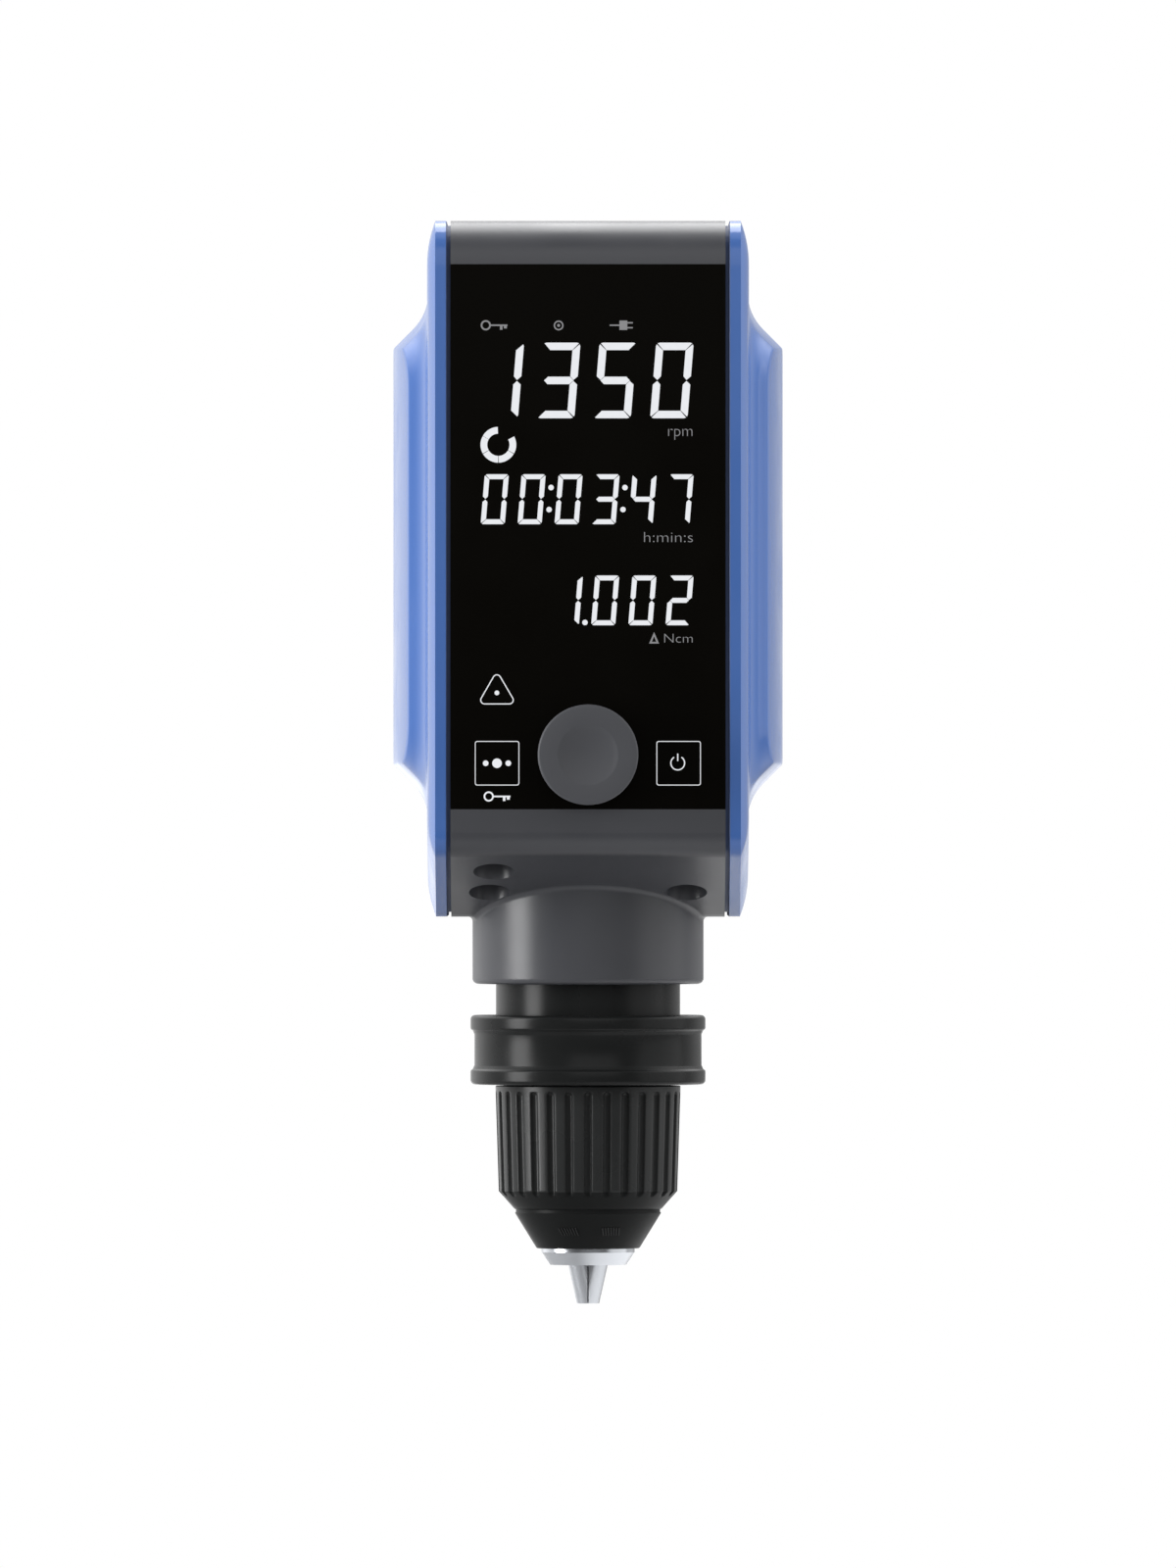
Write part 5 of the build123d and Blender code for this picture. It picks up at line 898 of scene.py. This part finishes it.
half_ring = [(RIM_R - 1.0, RING_LOW)]
for k in range(1, 7):
    bend = pi / 2 * k / 6
    half_ring.append((RIM_R - 1.0 + sin(bend), RING_LOW + 1.0 - cos(bend)))
half_ring += [(RIM_R, 44.5), (27.04, 44.78), (26.9, 44.95), (26.62, 45.14), (26.5, 45.32)]
half_ring += [(26.42, 45.6), (26.28, 45.86), (BAND_R, 46.1), (BAND_R, RING_MIDDLE)]
ring_outline = [(RING_BORE, RING_LOW + 0.4), (RING_BORE + 0.35, RING_LOW)] + half_ring
ring_outline += [(r, 2 * RING_MIDDLE - z) for r, z in reversed(half_ring[:-1])]
ring_outline += [(RING_BORE + 0.35, RING_TOP), (RING_BORE, RING_TOP - 0.4)]
ring_form = bmesh.new()
turned(ring_form, ring_outline, 160, closed=True)
for k in range(RING_KEYS):
    block = bmesh.ops.create_cube(ring_form, size=1.0)["verts"]
    turn = Matrix.Rotation(2 * pi * k / RING_KEYS, 4, "Z")
    place = turn @ Matrix.Translation(Vector(RING_KEY_PLACE) * MM)
    shape = Matrix.Diagonal((*[edge * MM for edge in RING_KEY_SIZE], 1))
    bmesh.ops.transform(ring_form, matrix=place @ shape, verts=block)
lock_ring = fitted("lock_ring_turned", ring_form, "lock_slider", black_plastic, 40)
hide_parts("lock_ring")

# ---------------------------------------------------------------- grip sleeve of the chuck
# The sleeve is moulded in black plastic over the jaw nut: a slight taper with thirty flutes
# as from a ball-ended cutter, round at the top and running out on the cone at the foot. The
# flutes' edges are softly broken. The cone at the foot wears a darker, duller copy of the
# sleeve's black: painted shade.
FLUTES = 30
FLUTE_R = 0.95
FLUTE_TOP = 40.1
SLEEVE_FOOT, SLEEVE_WAIST, SLEEVE_TOP = 12.8, 17.0, 41.3
WAIST_R = 20.6
TAPER = 0.77 / 24.3
CONE_SLOPE = 3.7 / 4.2
EDGE_BREAK = 0.16


def sleeve_r(height):
    """Radius of the sleeve's skin between its flutes: a taper, and a cone at the foot."""
    return WAIST_R + (height - SLEEVE_WAIST) * (TAPER if height >= SLEEVE_WAIST else CONE_SLOPE)


def flute_at(height):
    """Half width of a flute's mouth here, the cutter's radius here, and its axis radius."""
    axis_r = WAIST_R + (height - SLEEVE_WAIST) * TAPER
    cutter = FLUTE_R
    ball = height - (FLUTE_TOP - FLUTE_R)
    if ball > 0:
        cutter = sqrt(max(FLUTE_R**2 - ball**2, 0.0))
    sunk = axis_r - sleeve_r(height)
    return sqrt(max(cutter**2 - sunk**2, 0.0)), cutter, axis_r


sleeve_heights = [SLEEVE_FOOT, 12.95, 13.8, 14.8, 15.5, 15.8, 15.92, 16.1, 16.35, 16.6, 16.85]
sleeve_heights += [SLEEVE_WAIST, 17.4, 19.0, 22.0, 26.0, 30.0, 34.0, 37.0, 39.15]
sleeve_heights += [FLUTE_TOP - FLUTE_R + FLUTE_R * sin(pi / 2 * k / 7) for k in range(1, 8)]
sleeve_heights += [40.4, 40.9, 41.15, SLEEVE_TOP]
sleeve_form = bmesh.new()
sleeve_rows = []
for height in sleeve_heights:
    mouth, cutter, axis_r = flute_at(height)
    skin_r = sleeve_r(height)
    if height == SLEEVE_FOOT:
        skin_r -= 0.15
    if height == SLEEVE_TOP:
        skin_r -= 0.2
    row = []
    for flute in range(FLUTES):
        middle = 2 * pi * (flute + 0.5) / FLUTES
        soft = min(EDGE_BREAK, 0.3 * mouth)
        half = [(mouth + soft, 0.0), (mouth + 0.3 * soft, 0.3 * soft), (mouth, soft)]
        for k in (1, 2, 3, 4):
            spot = mouth * cos(pi * k / 10)
            depth = sqrt(max(cutter**2 - spot**2, 0.0))
            half.append((spot, max(depth - (axis_r - skin_r), soft)))
        if mouth == 0:
            half = [(0.3 - 0.04 * k, 0.0) for k in range(7)]
        floor = max(cutter - (axis_r - skin_r), 0.0) if mouth > 0 else 0.0
        flute_skin = [(-spot, sunk) for spot, sunk in half] + [(0.0, floor)] + half[::-1]
        row += [(skin_r - sunk, middle + spot / skin_r) for spot, sunk in flute_skin]
        edge = half[0][0] / skin_r
        for share in (0.25, 0.5, 0.75):
            row.append((skin_r, middle + edge + (2 * pi / FLUTES - 2 * edge) * share))
    spots = [(r * cos(t), r * sin(t), height) for r, t in row]
    sleeve_rows.append([sleeve_form.verts.new((x * MM, y * MM, z * MM)) for x, y, z in spots])
bore_outline = [(19.6, SLEEVE_TOP), (19.5, 41.8), (18.2, 41.8), (18.0, 41.6)]
bore_outline += [(18.0, 18.0), (14.5, 18.0), (14.5, SLEEVE_FOOT)]
for r, height in bore_outline:
    sleeve_rows.append(turned_row(sleeve_form, r, height, len(sleeve_rows[0])))
for row, after in zip(sleeve_rows, sleeve_rows[1:] + sleeve_rows[:1]):
    for k in range(len(row)):
        sleeve_form.faces.new((row[k - 1], row[k], after[k], after[k - 1]))
# Faces of the cone at the foot take the darker, duller black: painted shade.
for face in sleeve_form.faces:
    if all(vert.co.z < (SLEEVE_WAIST + 0.01) * MM for vert in face.verts):
        face.material_index = 1
grip_black = skin("grip_black", screen_colour(41, 42, 42), 0.26, 0.18, 1.5, 0.04, level=0.19)
# A darker, duller copy of the same black plastic, for faces that look down: painted shade.
cone_painted_shade = skin("cone_painted_shade", screen_colour(26, 27, 27), 0.34, 0.18, 2.0, 0.05, level=0.06)
sleeve = fitted("grip_sleeve", sleeve_form, "chuck_sleeve", grip_black, 50)
sleeve.data.materials.append(cone_painted_shade)
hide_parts("fluted_sleeve")

# ---------------------------------------------------------------- nose ring of the chuck
# The black cone under the sleeve, pressed on it with a fine groove between. Two fields of
# short raised ticks on the cone show the way the chuck turns tight. The cone wears the darker,
# duller copy of the black as painted shade; the ticks wear the sleeve's black.
nose_outline = [(11.1, 3.95), (11.25, 3.8), (11.7, 3.8), (11.95, 3.95), (16.75, 11.75)]
nose_outline += [(16.85, 11.98), (16.78, 12.1), (16.65, 12.12), (16.65, 12.8)]
nose_outline += [(14.5, 12.8), (14.5, 17.0), (11.1, 17.0)]
TICK_SIZE = (0.30, 0.26, 2.1)
TICK_PLACE = (14.42, 0.0, 7.85)
TICK_LEAN, TICK_TWIST = radians(32.6), radians(14)
nose_form = bmesh.new()
turned(nose_form, nose_outline, 160, closed=True)
for field in (-2.02, -1.33):
    for k in range(7):
        turn = field + k * 0.045
        tick = bmesh.ops.create_cube(nose_form, size=1.0)["verts"]
        place = Matrix.Rotation(turn, 4, "Z") @ Matrix.Translation(Vector(TICK_PLACE) * MM)
        place = place @ Matrix.Rotation(TICK_LEAN, 4, "Y") @ Matrix.Rotation(TICK_TWIST, 4, "X")
        shape = Matrix.Diagonal((*[edge * MM for edge in TICK_SIZE], 1))
        bmesh.ops.transform(nose_form, matrix=place @ shape, verts=tick)
        for face in {face for vert in tick for face in vert.link_faces}:
            face.material_index = 1
nose = fitted("nose_cone", nose_form, "chuck_sleeve", cone_painted_shade, 40)
nose.data.materials.append(grip_black)
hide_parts("nose_ring")

# ---------------------------------------------------------------- steel of the chuck
# The chuck's body is turned from bright steel; its nose collar shows under the cone. Three
# ground jaws slide through it and meet in a point; the nut that drives them is sintered.
bright_steel = skin(
    "bright_steel", screen_colour(206, 209, 214), 0.22, 0.5, 3.0, 0.02,
    metal=1.0, lines=(0.15, 0.15, 6.0),
)
ground_steel = skin(
    "ground_steel", screen_colour(200, 203, 208), 0.20, 0.4, 2.5, 0.03,
    metal=1.0, lines=(4.0, 4.0, 0.3),
)
plain_steel = skin("plain_steel", screen_colour(168, 170, 174), 0.34, 0.6, 5.0, 0.04, metal=1.0)
dress("chuck_body", bright_steel)
for node in ("jaw_1", "jaw_2", "jaw_3"):
    dress(node, ground_steel)
dress("jaw_nut", plain_steel)
dress("rear_collar", black_plastic)

# ---------------------------------------------------------------- spindle, bearings and belt drive
# Inside, a hollow ground spindle runs in two ball bearings in a machined aluminium chassis.
# A toothed rubber belt brings it the motor's turning at a third of the speed.
machined_aluminium = skin(
    "machined_aluminium", screen_colour(190, 192, 195), 0.36, 0.5, 4.0, 0.03,
    metal=1.0, lines=(0.2, 3.0, 3.0),
)
dress("drive_chassis", machined_aluminium)
dress("guide_tube", machined_aluminium)
dress("spindle_shaft", ground_steel)
for node in ("bearing_outer_rings", "bearing_inner_rings", "motor_bearings", "rotor_shaft"):
    dress(node, bright_steel)
for node in ("shaft_clip", "chassis_screws", "motor_screws", "board_screws"):
    dress(node, plain_steel)
for node in ("spindle_pulley", "motor_pulley"):
    dress(node, machined_aluminium)
belt_rubber = skin(
    "belt_rubber", screen_colour(26, 26, 26), 0.7, 0.25, 14.0, 0.08,
    level=0.3, lines=(1.0, 1.0, 4.0),
)
dress("drive_belt", belt_rubber)

# ---------------------------------------------------------------- motor
# A small brushless motor hangs from the chassis: drawn steel case, plastic end cap, stator
# sheets with enamelled copper coils, and a nickel-plated ring magnet on the shaft.
copper_wire = skin(
    "copper_wire", screen_colour(184, 98, 48), 0.34, 0.35, 40.0, 0.08,
    metal=0.8, lines=(1.0, 1.0, 0.25),
)
magnet_nickel = skin("magnet_nickel", screen_colour(150, 151, 153), 0.3, 0.3, 3.0, 0.04, metal=1.0)
sheet_steel = skin(
    "sheet_steel", screen_colour(120, 122, 126), 0.42, 0.35, 12.0, 0.05,
    metal=1.0, lines=(0.1, 0.1, 8.0),
)
dress("motor_case", plain_steel)
dress("motor_end_cap", black_plastic)
dress("stator_core", sheet_steel)
dress("stator_windings", copper_wire)
dress("rotor_magnet", magnet_nickel)

# ---------------------------------------------------------------- boards, display and sockets
# Green glass-fibre boards carry the display, the encoder, the keys' switches and the motor
# drive; sockets are black nylon, and a grey ribbon joins the two boards.
board_green = skin("board_green", screen_colour(28, 92, 52), 0.4, 1.8, 18.0, 0.12)
dark_plastic = skin("dark_plastic", screen_colour(44, 44, 48), 0.42, 0.2, 4.0, 0.05, level=0.4)
ribbon_grey = skin(
    "ribbon_grey", screen_colour(168, 170, 174), 0.5, 1.27, 160.0, 0.04,
    level=0.4, lines=(1.0, 0.02, 0.02),
)
for node in ("display_board", "main_board"):
    dress(node, board_green)
for node in ("segment_display", "key_switches", "rotary_encoder", "board_parts"):
    dress(node, dark_plastic)
for node in ("power_jack", "data_port"):
    dress(node, dark_plastic)
dress("probe_socket", black_plastic)
dress("ribbon_cable", ribbon_grey)
for node in ("encoder_plunger", "encoder_shaft"):
    dress(node, bright_steel)

# ---------------------------------------------------------------- rod, cover screws and top cap
# The support rod is drawn stainless steel with a chamfered end, screwed into the back. The
# covers' screws are zinc plated; a grey plastic cap plugs the spindle's bore in the top.
rod_steel = skin(
    "rod_steel", screen_colour(196, 198, 202), 0.24, 0.5, 3.0, 0.03,
    metal=1.0, lines=(6.0, 0.12, 6.0),
)
grey_plastic = skin("grey_plastic", screen_colour(64, 65, 68), 0.42, 0.2, 4.0, 0.04, level=0.4)
dress("extension_arm", rod_steel)
dress("cover_screws", plain_steel)
dress("spindle_hole_cap", grey_plastic)
